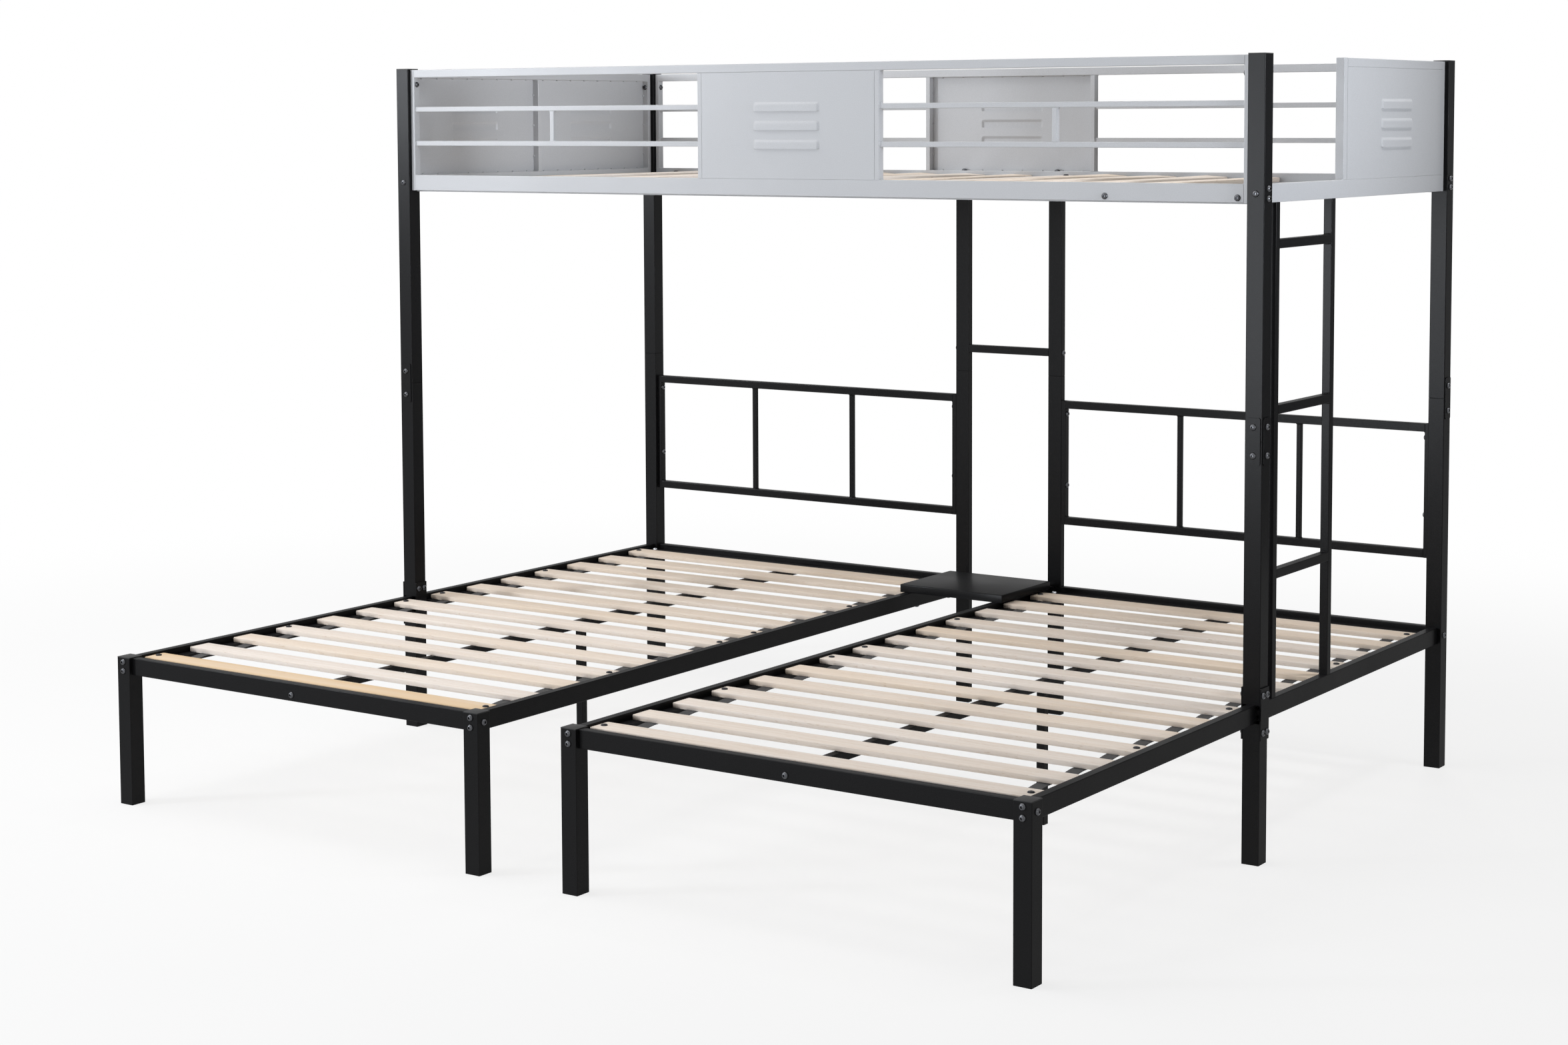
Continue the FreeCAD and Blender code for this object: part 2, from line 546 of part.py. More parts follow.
def angle(name, along, length, at, flip):
    """Slat ledge: an L section, its flange level and its web against the rail, on one side or the other."""
    body = new_body(name)
    profile = new_sketch(body, name + "Section")
    reach = -1 if flip else 1
    corners = [(0, 0), (9 * reach, 0), (9 * reach, -1), (reach, -1), (reach, -9), (0, -9)]
    points = [FreeCAD.Vector(x, y, 0) for x, y in corners]
    count = len(points)
    lines = [profile.addGeometry(Part.LineSegment(points[i], points[(i + 1) % count])) for i in range(count)]
    for i in range(count):
        profile.addConstraint(Sketcher.Constraint("Coincident", lines[i], 2, lines[(i + 1) % count], 1))
        level = "Vertical" if i % 2 else "Horizontal"
        profile.addConstraint(Sketcher.Constraint(level, lines[i]))
    profile.addConstraint(Sketcher.Constraint("Coincident", lines[0], 1, -1, 1))
    start, end = (2, 1) if flip else (1, 2)
    foot_start, foot_end = (1, 2) if flip else (2, 1)
    spans = [
        ("DistanceX", lines[0], start, lines[0], end, "ledge_width"),
        ("DistanceX", lines[4], foot_start, lines[4], foot_end, "ledge_thick"),
        ("DistanceY", lines[1], 2, lines[1], 1, "ledge_thick"),
        ("DistanceY", lines[5], 1, lines[5], 2, "ledge_thick + ledge_tall"),
    ]
    measure(profile, spans)
    pad(body, profile, length)
    turn = {"+Y": TURN_TO["-Y"], "+X": FreeCAD.Rotation(FreeCAD.Vector(1, 1, 1), 120)}[along]
    place(body, at, turn)
    return body


def slats(name, node, length, count, at, along):
    """One rounded slat, repeated at the slat pitch; its run goes along +X or along +Y."""
    body = new_body(name)
    body.AllowCompound = True
    profile = new_sketch(body, name + "Outline")
    wide, deep = ("slat_width", length) if along == "X" else (length, "slat_width")
    rectangle(profile, wide, deep)
    first = pad(body, profile, "slat_thick")
    round_long_edges(body, "slat_round")
    doc.recompute([body])
    rounded = body.Tip
    run = body.newObject("PartDesign::LinearPattern", name + "Run")
    run.Originals = [first, rounded]
    run.Direction = (profile, ["H_Axis" if along == "X" else "V_Axis"])
    bind(run, "Length", f"slat_pitch * ({count} - 1)")
    bind(run, "Occurrences", count)
    body.Tip = run
    place(body, at)
    return file_under(node, body)


def size(alias):
    return float(sheet.get(alias))


# Lower slats lie in two runs, one before and one behind the bunk post that stands on the side rail.
BUNK_FRONT = "bed_length / 2 - upper_depth"
FRONT_RUN = (f"(floor((bed_length - upper_depth - slat_gap_front - slat_width - {RAIL_INNER})"
             " / slat_pitch) + 1)")
BACK_RUN = ("(floor((upper_depth - post_side - slat_gap_back - slat_width - post_side - ledge_width)"
            " / slat_pitch) + 1)")
FRONT_SLAT_Y = f"{BUNK_FRONT} - slat_gap_front - slat_width / 2 - slat_pitch * ({FRONT_RUN} - 1)"
BACK_SLAT_Y = f"{BUNK_FRONT} + post_side + slat_gap_back + slat_width / 2"
SLAT_LENGTH = f"bed_width - 2 * {RAIL_INNER} - 2 * slat_end_gap"
STRAP_START = f"{FRONT_SLAT_Y} - slat_width / 2 + strap_end"
STRAP_LENGTH = (f"({BACK_SLAT_Y} + slat_pitch * ({BACK_RUN} - 1) + slat_width / 2 - strap_end)"
                f" - ({STRAP_START})")
rail_inner = (size("post_side") + size("rail_thick")) / 2
front_room = (size("bed_length") - size("upper_depth") - size("slat_gap_front") - size("slat_width")
              - rail_inner)
back_room = (size("upper_depth") - 2 * size("post_side") - size("slat_gap_back") - size("slat_width")
             - size("ledge_width"))
front_count = math.floor(front_room / size("slat_pitch")) + 1
back_count = math.floor(back_room / size("slat_pitch")) + 1
SCREWED_EVERY = 3
for word, side in SIDES.items():
    node = f"{word}_slat_ledges"
    outer_x = signed(side, f"{HALF_LENGTH} - {RAIL_INNER}")
    inner_x = signed(side, f"bed_gap / 2 + {RAIL_INNER}")
    on_left = side < 0
    front_ledge = file_under(node, angle(
        f"{word}_front_ledge", "+Y", "bed_length - upper_depth - post_side - saddle_gap",
        (outer_x, f"{BUNK_FRONT} - saddle_gap", SLAT_BASE), not on_left))
    rear_ledge = file_under(node, angle(
        f"{word}_rear_ledge", "+Y", "upper_depth - 2 * post_side - saddle_gap",
        (outer_x, "bed_length / 2 - post_side", SLAT_BASE), not on_left))
    inner_ledge = file_under(node, angle(
        f"{word}_inner_ledge", "+Y", SIDE_RAIL, (inner_x, "bed_length / 2 - post_side", SLAT_BASE), on_left))
    strip = file_under(node, block(
        f"{word}_head_strip", (f"bed_width - 2 * {RAIL_INNER}", "ledge_width", "ledge_thick"),
        (signed(1, f"{X_BED[side]} - bed_width / 2 + {RAIL_INNER}"),
         "bed_length / 2 - post_side - ledge_width", SLAT_BASE)))
    strip_y = "bed_length / 2 - post_side - ledge_width / 2"
    for x, ledge in ((f"({outer_x}) - {side} * ledge_width / 2", rear_ledge),
                     (f"({inner_x}) + {side} * ledge_width / 2", inner_ledge)):
        bolt("strip_bolt", (x, strip_y, f"{SLAT_BASE} + ledge_thick"), "+Z", [strip, ledge])

    front = slats(f"{word}_front_slats", f"{word}_slats", SLAT_LENGTH, FRONT_RUN,
                  (X_BED[side], FRONT_SLAT_Y, SLAT_BASE), "Y")
    back = slats(f"{word}_back_slats", f"{word}_slats", SLAT_LENGTH, BACK_RUN,
                 (X_BED[side], BACK_SLAT_Y, SLAT_BASE), "Y")
    screw_x = [f"({X_BED[side]}) + {end} * (({SLAT_LENGTH}) / 2 - screw_inset)" for end in (-1, 1)]
    for run, start, numbers in ((front, FRONT_SLAT_Y, range(0, front_count, SCREWED_EVERY)),
                                (back, BACK_SLAT_Y, range(0, back_count, SCREWED_EVERY))):
        ledge = front_ledge if run is front else rear_ledge
        for number in numbers:
            for x in screw_x:
                bolt("slat_screw", (x, f"{start} + {number} * slat_pitch", f"{SLAT_BASE} + slat_thick"), "+Z",
                     [run, ledge, inner_ledge])

    for end in (-1, 1):
        from_middle = f"bed_width / 2 - {RAIL_INNER} - strap_inset - strap_width / 2"
        file_under(f"{word}_slat_straps", block(
            f"{word}_strap_{'low' if end < 0 else 'high'}", ("strap_width", STRAP_LENGTH, "strap_thick"),
            (f"({X_BED[side]}) + {end} * ({from_middle}) - strap_width / 2", STRAP_START,
             f"{SLAT_BASE} - strap_thick")))


# Upper bunk: slats across it on ledges along its front and back rails, and a strip bolted to the
# ledges in the bare end beside the ladder.
UPPER_RUN = (f"(floor((2 * ({HALF_LENGTH}) - 2 * {RAIL_INNER} - upper_slat_inset - upper_landing"
             " - slat_width) / slat_pitch) + 1)")
UPPER_SLAT_X = f"{RAIL_INNER} + upper_slat_inset + slat_width / 2 - ({HALF_LENGTH})"
UPPER_SLAT_LENGTH = f"upper_depth - 2 * {RAIL_INNER} - 2 * slat_end_gap"
UPPER_MID_Y = "bed_length / 2 - upper_depth / 2"
upper_room = (2 * size("bed_width") + size("bed_gap") - 2 * rail_inner - size("upper_slat_inset")
              - size("upper_landing") - size("slat_width"))
upper_count = math.floor(upper_room / size("slat_pitch")) + 1
upper_screwed = (0, upper_count // 3, 2 * upper_count // 3, upper_count - 1)
upper_front_ledge = file_under("upper_slat_ledges", angle(
    "upper_front_ledge", "+X", CLEAR_LENGTH,
    (f"0 - {CLEAR_LENGTH} / 2", f"{BUNK_FRONT} + {RAIL_INNER}", UPPER_SLAT_BASE), False))
upper_back_ledge = file_under("upper_slat_ledges", angle(
    "upper_back_ledge", "+X", CLEAR_LENGTH,
    (f"0 - {CLEAR_LENGTH} / 2", f"bed_length / 2 - {RAIL_INNER}", UPPER_SLAT_BASE), True))
upper_slats = slats("upper_slat_run", "upper_slats", UPPER_SLAT_LENGTH, UPPER_RUN,
                    (UPPER_SLAT_X, UPPER_MID_Y, UPPER_SLAT_BASE), "X")
for number in upper_screwed:
    for end, ledge in ((-1, upper_front_ledge), (1, upper_back_ledge)):
        bolt("slat_screw", (f"{UPPER_SLAT_X} + {number} * slat_pitch",
                            f"{UPPER_MID_Y} + {end} * (({UPPER_SLAT_LENGTH}) / 2 - screw_inset)",
                            f"{UPPER_SLAT_BASE} + slat_thick"), "+Z", [upper_slats, ledge])
UPPER_STRIP_X = f"{HALF_LENGTH} - {RAIL_INNER} - upper_strip_inset"
upper_strip = file_under("upper_slat_ledges", block(
    "upper_strip", ("ledge_width", f"upper_depth - 2 * {RAIL_INNER}", "ledge_thick"),
    (f"{UPPER_STRIP_X} - ledge_width / 2", f"{BUNK_FRONT} + {RAIL_INNER}", UPPER_SLAT_BASE)))
for y, ledge in ((f"{BUNK_FRONT} + {RAIL_INNER} + ledge_width / 2", upper_front_ledge),
                 (f"bed_length / 2 - {RAIL_INNER} - ledge_width / 2", upper_back_ledge)):
    bolt("strip_bolt", (UPPER_STRIP_X, y, f"{UPPER_SLAT_BASE} + ledge_thick"), "+Z", [upper_strip, ledge])


# Headboards: a stile on each post, two bars between the stiles and two slim bars between those.
for word, side in SIDES.items():
    node = f"{word}_headboard"
    outward, inward = TOWARDS[side], TOWARDS[-side]
    outer_x = signed(side, f"{HALF_LENGTH} - post_side - slim_side / 2")
    inner_x = signed(side, f"bed_gap / 2 + {SETBACK} + post_side + slim_side / 2")
    inside = f"(bed_width - 2 * post_side - {SETBACK} - 2 * slim_side)"
    start_x = signed(side, f"{HALF_LENGTH} - post_side - slim_side")
    stiles = {}
    for end, x in (("outer", outer_x), ("inner", inner_x)):
        stiles[end] = file_under(node, tube(f"{word}_headboard_{end}_stile", "+Z", STILE, "headboard_height",
                                            (x, HEAD_Y, "headboard_base")))
    for level, z in (("lower", "headboard_base + bar_side / 2"),
                     ("top", "headboard_base + headboard_height - bar_side / 2")):
        file_under(node, tube(f"{word}_headboard_{level}_bar", inward, BAR, inside, (start_x, HEAD_Y, z)))
    for third in (1, 2):
        x = f"({start_x}) - {side} * {third} * {inside} / 3"
        file_under(node, tube(f"{word}_headboard_upright_{third}", "+Z", SLIM,
                              "headboard_height - 2 * bar_side", (x, HEAD_Y, "headboard_base + bar_side")))
    for z in ("headboard_base + headboard_height - headboard_bolt_drop",
              "headboard_base + headboard_bolt_rise"):
        bolt("stile_bolt", (start_x, HEAD_Y, z), inward, [stiles["outer"]] + posts[side]["head"])
        bolt("stile_bolt", (f"({start_x}) - {side} * {inside}", HEAD_Y, z), outward,
             [stiles["inner"]] + posts[side]["middle"])


# Crossbar between the middle posts.
CROSSBAR_Z = "crossbar_base + bar_side / 2"
file_under("head_crossbar", tube(
    "head_crossbar_tube", "+X", BAR, f"bed_gap + 2 * {SETBACK}",
    (f"0 - bed_gap / 2 - {SETBACK}", HEAD_Y, CROSSBAR_Z)))
for word, side in SIDES.items():
    end = signed(side, f"bed_gap / 2 + {SETBACK}")
    plug = end_plug(f"{word}_crossbar_plug", TOWARDS[-side], BAR, (end, HEAD_Y, CROSSBAR_Z))
    bolt("rail_bolt", (signed(side, f"bed_gap / 2 + {SETBACK} + post_side"), HEAD_Y, CROSSBAR_Z),
         TOWARDS[side], posts[side]["middle"] + [plug])


# Shelf between the beds: a folded tray, open below between its two return lips.
TRAY_WIDE = f"(bed_gap + 2 * {RAIL_INNER} + 2 * tray_overhang)"
TRAY_FRONT = "bed_length / 2 - tray_inset - tray_depth"
tray_outer = block("tray_outer", (TRAY_WIDE, "tray_depth", "tray_tall"),
                   (f"0 - {TRAY_WIDE} / 2", TRAY_FRONT, RAIL_TOP))
TRAY_CLEAR = "tray_depth - 2 * sheet_thick"
tray_room = block(
    "tray_room", (f"{TRAY_WIDE} - 2 * sheet_thick", TRAY_CLEAR, "tray_tall - 2 * sheet_thick"),
    (f"sheet_thick - {TRAY_WIDE} / 2", f"{TRAY_FRONT} + sheet_thick", f"{RAIL_TOP} + sheet_thick"))
tray_mouth = block(
    "tray_mouth", (f"{TRAY_WIDE} - 2 * tray_lip", TRAY_CLEAR, "2 * sheet_thick"),
    (f"tray_lip - {TRAY_WIDE} / 2", f"{TRAY_FRONT} + sheet_thick", f"{RAIL_TOP} - sheet_thick"))
tray = file_under("shelf_tray", cut("tray_folded", cut("tray_hollow", tray_outer, tray_room), tray_mouth))
for side in SIDES.values():
    for end in (-1, 1):
        y = f"{TRAY_FRONT} + tray_depth / 2 + {end} * tray_bolts / 2"
        bolt("tray_bolt", (X_INNER[side], y, "bed_rail_base"), "-Z", [rails[side]["inner"], tray])


# Guards of the upper bunk: welded frames of tube between the posts.
GUARD_INSIDE = f"({CLEAR_LENGTH} - 2 * slim_side)"
HALF_PANEL = "panel_width / 2"
BAR_RUN = f"({GUARD_INSIDE} / 2 - {HALF_PANEL})"
TOP_Z = f"{GUARD_TOP} - bar_side / 2"
guard_rails = {}
guard_plugs = {}
guard_stiles = {}
for word, y in (("front", BUNK_Y), ("back", HEAD_Y)):
    node = f"{word}_guard_frame"
    start = f"0 - {GUARD_INSIDE} / 2"
    guard_rails[word] = file_under(node, tube(
        f"{word}_guard_rail", "+X", RAIL, GUARD_INSIDE, (start, y, UPPER_Z)))
    file_under(node, tube(
        f"{word}_guard_top", "+X", ("bar_side", "rail_thick"), GUARD_INSIDE, (start, y, TOP_Z)))
    for side_word, side in SIDES.items():
        stile_x = signed(side, f"{GUARD_INSIDE} / 2 + slim_side / 2")
        guard_stiles[word, side] = file_under(node, tube(
            f"{word}_guard_{side_word}_stile", "+Z", STILE, "guard_height", (stile_x, y, "upper_rail_base")))
        file_under(node, tube(f"{word}_panel_{side_word}_stile", "+Z", STILE, PANEL_TALL,
                              (signed(side, f"{HALF_PANEL} - slim_side / 2"), y, UPPER_TOP)))
        for level, lift in (("lower", "0 - guard_bars / 2"), ("upper", "guard_bars / 2")):
            file_under(node, tube(f"{word}_guard_{side_word}_{level}_bar", TOWARDS[side], SLIM, BAR_RUN,
                                  (signed(side, HALF_PANEL), y, f"{PANEL_MID} + {lift}")))
        file_under(node, tube(f"{word}_guard_{side_word}_strut", "+Z", SLIM, "guard_bars - slim_side",
                              (signed(side, f"{HALF_PANEL} + {BAR_RUN} / 2"), y,
                               f"{PANEL_MID} - guard_bars / 2 + slim_side / 2")))

END_START = f"{BUNK_FRONT} + post_side"
END_INSIDE = f"({CLEAR_DEPTH} - 2 * slim_side)"
END_BACK = "bed_length / 2 - post_side - slim_side"
left_x, right_x = X_POST[-1], X_POST[1]
END_TOP = ("rail_thick", "bar_side")
file_under("left_end_frame", tube("left_end_rail", "-Y", RAIL_ALONG_Y, END_INSIDE,
                                  (left_x, END_BACK, UPPER_Z)))
file_under("left_end_frame", tube("left_end_top", "-Y", END_TOP, END_INSIDE, (left_x, END_BACK, TOP_Z)))
left_stiles = [file_under("left_end_frame", tube(f"left_end_{word}_stile", "+Z", STILE_AT_END, "guard_height",
                                                 (left_x, y, "upper_rail_base")))
               for word, y in (("front", f"{END_START} + slim_side / 2"),
                               ("back", f"{END_BACK} + slim_side / 2"))]
file_under("left_end_frame", tube("left_end_middle_stile", "+Z", STILE_AT_END, PANEL_TALL,
                                  (left_x, UPPER_MID_Y, UPPER_TOP)))

HALF_FRAME = "(upper_depth - 2 * post_side - access_width)"
file_under("right_end_frame", tube("right_end_rail", "-Y", RAIL_ALONG_Y, f"{CLEAR_DEPTH} - slim_side",
                                   (right_x, END_BACK, UPPER_Z)))
file_under("right_end_frame", tube("right_end_top", "-Y", END_TOP, f"{HALF_FRAME} - slim_side - bar_side",
                                   (right_x, END_BACK, TOP_Z)))
right_stile = file_under("right_end_frame", tube("right_end_back_stile", "+Z", STILE_AT_END, "guard_height",
                                                 (right_x, f"{END_BACK} + slim_side / 2", "upper_rail_base")))
file_under("right_end_frame", tube("right_end_front_stile", "+Z", END_TOP, "guard_height - rail_tall",
                                   (right_x, f"{END_START} + access_width + bar_side / 2", UPPER_TOP)))

for word, side in SIDES.items():
    inward = TOWARDS[-side]
    corners = (("front", BUNK_Y, BUNK_FRONT, "-Y", posts[side]["bunk"][2]),
               ("back", HEAD_Y, BACK, "+Y", posts[side]["head"][2]))
    for end, y, y_face, y_facing, post in corners:
        stile = guard_stiles[end, side]
        plug = end_plug(f"{end}_{word}_guard_plug", inward, RAIL,
                        (signed(side, f"{GUARD_INSIDE} / 2"), y, UPPER_Z))
        guard_plugs[end, side] = plug
        for step in ("bolt_pair / 2", "0 - bolt_pair / 2"):
            bolt("upper_bolt", (signed(side, HALF_LENGTH), y, shifted(UPPER_Z, step)), TOWARDS[side],
                 [post, stile, plug])
        bolt("stile_bolt", (signed(side, f"{GUARD_INSIDE} / 2"), y, f"{GUARD_TOP} - stile_bolt_drop"), inward,
             [stile, post])
        bare = side > 0 and end == "front"
        if end == "back":
            end_stile = left_stiles[1] if side < 0 else right_stile
            plug_at, into = END_BACK, "-Y"
        else:
            end_stile = None if bare else left_stiles[0]
            plug_at, into = END_START if bare else f"{END_START} + slim_side", "+Y"
        rail_plug = end_plug(f"{word}_end_{end}_plug", into, RAIL_ALONG_Y, (X_POST[side], plug_at, UPPER_Z))
        crossed = [post, rail_plug] + ([end_stile] if end_stile else [])
        bolt("upper_bolt" if end_stile else "rail_bolt", (X_POST[side], y_face, UPPER_Z), y_facing, crossed)
        if end_stile:
            bolt("stile_bolt", (X_POST[side], plug_at, f"{GUARD_TOP} - stile_bolt_drop"), into,
                 [end_stile, post])
    standing_plug = end_plug(f"{word}_middle_post_plug", "-Z", ("post_side", "rail_thick"),
                             (X_MIDDLE[side], HEAD_Y, "upper_rail_base"))
    bolt("standing_bolt", (X_MIDDLE[side], HEAD_Y, UPPER_TOP), "+Z", [guard_rails["back"], standing_plug])
for inset in ("spare_bolt_inset", "spare_bolt_inset + ladder_width"):
    at = (f"{HALF_LENGTH} - ({inset})", f"{BUNK_Y} - rail_thick / 2", "upper_rail_base + spare_bolt_rise")
    bolt("spare_bolt", at, "-Y", [guard_rails["front"], guard_plugs["front", 1]])


# Louvred panels: a sheet flush with the outside of its frame, with three pressed louvres.
PANEL_TURN = {"front": 0, "right": 90, "back": 180, "left": -90}
LOUVRES = 3


def louvred_sheet(name, node, wide, at, face):
    """Sheet, outer face on the local XY plane, with louvres that are pressed outwards and open below."""
    body = new_body(name)
    outline = new_sketch(body, name + "Outline")
    rectangle(outline, wide, PANEL_TALL)
    pad(body, outline, "sheet_thick", reverse=True)
    low = f"0 - louvre_tall / 2 - louvre_pitch * {LOUVRES // 2}"
    hood = []
    skins = (("Outer", "0", "louvre_out", "0", "PartDesign::AdditiveLoft"),
             ("Inner", "0 - sheet_thick", "louvre_out - sheet_thick", "sheet_thick",
              "PartDesign::SubtractiveLoft"))
    for skin, near, far, shrink, kind in skins:
        root = new_sketch(body, f"{name}{skin}Root", offset=near)
        rectangle(root, f"louvre_width - 2 * {shrink}", f"louvre_tall - {shrink}", low)
        nose = new_sketch(body, f"{name}{skin}Nose", offset=far)
        rectangle(nose, f"louvre_width - 2 * louvre_taper - 2 * {shrink}", f"louvre_face - {shrink}", low)
        loft = body.newObject(kind, f"{name}{skin}Hood")
        loft.Profile = root
        loft.Sections = [nose]
        loft.Ruled = True
        hood.append(loft)
    run = body.newObject("PartDesign::LinearPattern", name + "Louvres")
    run.Originals = hood
    run.Direction = (outline, ["V_Axis"])
    bind(run, "Length", f"louvre_pitch * {LOUVRES - 1}")
    run.Occurrences = LOUVRES
    body.Tip = run
    upright = FreeCAD.Rotation(FreeCAD.Vector(1, 0, 0), 90)
    place(body, at, FreeCAD.Rotation(FreeCAD.Vector(0, 0, 1), PANEL_TURN[face]).multiply(upright))
    return file_under(node, body)


for word, y, out in (("front", BUNK_Y, -1), ("back", HEAD_Y, 1)):
    louvred_sheet(f"{word}_sheet", f"{word}_guard_panel", "panel_width - 2 * slim_side",
                  ("0", f"{y} + {out} * rail_thick / 2", PANEL_MID), word)
HALF_SHEET = f"({END_INSIDE} - slim_side) / 2"
for word, end in (("front", -1), ("back", 1)):
    y = f"{UPPER_MID_Y} + {end} * ({HALF_SHEET} + slim_side) / 2"
    louvred_sheet(f"left_{word}_sheet", "left_end_panels", HALF_SHEET,
                  (f"({left_x}) - rail_thick / 2", y, PANEL_MID), "left")
RIGHT_SHEET = f"({HALF_FRAME} - slim_side - bar_side)"
louvred_sheet("right_sheet", "right_end_panel", RIGHT_SHEET,
              (f"({right_x}) + rail_thick / 2", f"{END_BACK} - {RIGHT_SHEET} / 2", PANEL_MID), "right")


# Ladder between the right bed's outer rail and the upper bunk's right end.
LADDER_FRONT = f"{BUNK_FRONT} + post_side + ladder_gap"
RUNGS = 3
for word, y in (("front", f"{LADDER_FRONT} + bar_side / 2"),
                ("back", f"{LADDER_FRONT} + ladder_width - bar_side / 2")):
    file_under("ladder_stiles", tube(f"ladder_{word}_stile", "+Z", BAR, f"upper_rail_base - {RAIL_TOP}",
                                     (right_x, y, RAIL_TOP)))
for number in range(RUNGS):
    file_under("ladder_rungs", tube(f"ladder_rung_{number + 1}", "+Y", BAR, "ladder_width - 2 * bar_side",
                                    (right_x, f"{LADDER_FRONT} + bar_side",
                                     f"upper_rail_base - rung_top_gap - {number} * rung_pitch")))


# Post joints: bolted plates over the outer faces of the corner posts.
for word, side in SIDES.items():
    outer = signed(side, HALF_LENGTH)
    faces = (("head", "side", TOWARDS[side], (outer, HEAD_Y, "seam_height")),
             ("bunk", "side", TOWARDS[side], (outer, BUNK_Y, "seam_height")),
             ("bunk", "front", "-Y", (X_POST[side], BUNK_FRONT, "seam_height")))
    for name, view, facing, at in faces:
        low, sleeve, high = posts[side][name]
        if view == "side":
            section = ("plate_tall", "plate_width")
            seat = (f"({outer}) + {side} * plate_thick", at[1])
        else:
            section = ("plate_width", "plate_tall")
            seat = (at[0], f"{BUNK_FRONT} - plate_thick")
        plate = file_under("post_joint_plates", rounded_plate(
            f"{word}_{name}_plate_{view}", facing, section, "plate_thick", "plate_round", at))
        for step, post in (("0 - plate_bolts / 2", low), ("plate_bolts / 2", high)):
            bolt("plate_bolt", seat + (f"seam_height + {step}",), facing, [plate, post, sleeve])


# Saddle joints: the bunk post stands on the side rail between two plates that also hold its foot.
for word, side in SIDES.items():
    for name, turn in (("outer", side), ("inner", -side)):
        facing = TOWARDS[turn]
        face = f"({X_POST[side]}) + {turn} * post_side / 2"
        plate = file_under("saddle_plates", rounded_plate(
            f"{word}_{name}_saddle_plate", facing, ("saddle_tall", "post_side"), "saddle_thick",
            "saddle_round", (face, BUNK_Y, RAIL_Z)))
        spacer_x = f"({X_POST[side]}) + {turn} * (rail_thick + {SETBACK}) / 2"
        file_under("saddle_spacers", tube(f"{word}_{name}_spacer", "+Y", (SETBACK, "spacer_tall"),
                                          "post_side", (spacer_x, BUNK_FRONT, RAIL_Z)))
        for row, post in ((-1, posts[side]["foot"]), (1, posts[side]["bunk"][0])):
            for column in (-1, 1):
                bolt("saddle_bolt", (f"({face}) + {turn} * saddle_thick",
                                     f"{BUNK_Y} + {column} * saddle_bolts_wide / 2",
                                     f"{RAIL_Z} + {row} * saddle_bolts_tall / 2"), facing, [plate, post])


# Drill the bolt holes, gather each node and write it.
doc.recompute()
finished = {}
for node, pieces in nodes.items():
    drilled = []
    for piece in pieces:
        holes = drills.get(piece.Name)
        if holes:
            piece = cut(f"{piece.Name}_drilled", piece, group(f"{piece.Name}_holes", holes))
        drilled.append(piece)
    finished[node] = drilled[0] if len(drilled) == 1 else group(f"{node}_set", drilled)
for node, item in finished.items():
    for other in doc.Objects:
        if other.Label == node:
            other.Label = f"{node} blank"
    item.Label = node
doc.recompute()

faults = [item.Label for item in doc.Objects if {"Invalid", "Error"} & set(item.State)]
for node, item in finished.items():
    if item.Shape.isNull() or not item.Shape.isValid() or not item.Shape.Solids:
        faults.append(node)
if faults:
    raise RuntimeError("pieces that failed: " + ", ".join(faults))
os.makedirs("parts", exist_ok=True)
for node, item in finished.items():
    item.Shape.exportStep(f"parts/{node}.step")
print(len(finished), "nodes,", sum(len(item.Shape.Solids) for item in finished.values()), "solids")
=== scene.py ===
import json
import math
import random

import bmesh
import bpy
from bpy.props import FloatProperty, FloatVectorProperty, IntProperty, PointerProperty
from mathutils import Matrix, Vector


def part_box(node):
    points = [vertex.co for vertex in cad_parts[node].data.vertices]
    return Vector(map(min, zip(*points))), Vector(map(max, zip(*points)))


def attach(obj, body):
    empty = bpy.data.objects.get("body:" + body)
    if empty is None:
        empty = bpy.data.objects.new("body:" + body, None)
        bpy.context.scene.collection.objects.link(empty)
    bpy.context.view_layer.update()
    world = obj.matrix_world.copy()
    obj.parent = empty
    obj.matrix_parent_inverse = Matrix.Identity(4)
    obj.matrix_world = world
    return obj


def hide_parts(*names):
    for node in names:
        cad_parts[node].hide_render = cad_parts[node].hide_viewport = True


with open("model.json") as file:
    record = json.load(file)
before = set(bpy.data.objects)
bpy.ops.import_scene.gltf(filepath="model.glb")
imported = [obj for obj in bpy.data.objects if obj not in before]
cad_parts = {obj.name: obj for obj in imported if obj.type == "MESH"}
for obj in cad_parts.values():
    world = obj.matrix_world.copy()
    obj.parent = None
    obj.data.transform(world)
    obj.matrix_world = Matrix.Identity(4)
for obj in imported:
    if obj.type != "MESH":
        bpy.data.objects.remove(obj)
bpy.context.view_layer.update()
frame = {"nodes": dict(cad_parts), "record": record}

bl_info = {
    "name": "Triple bunk bed",
    "version": (1, 0, 0),
    "blender": (4, 5, 0),
    "location": "View3D > Sidebar > Bunk bed",
    "description": "Finishes a steel-tube triple bunk bed: coats, slats, straps, panels, bolts and welds",
    "category": "Object",
}

SEED = 7


def colour(text):
    """Linear RGBA of an sRGB hex value."""
    channels = [int(text[i:i + 2], 16) / 255 for i in (1, 3, 5)]
    linear = [c / 12.92 if c <= 0.04045 else ((c + 0.055) / 1.055) ** 2.4 for c in channels]
    return (*linear, 1.0)


def tint(text, name, description):
    return FloatVectorProperty(name=name, description=description, subtype="COLOR", size=4, min=0.0, max=1.0,
                               default=colour(text))


def length(metres, name, description):
    return FloatProperty(name=name, description=description, subtype="DISTANCE", unit="LENGTH", min=0.0,
                         default=metres, precision=4)


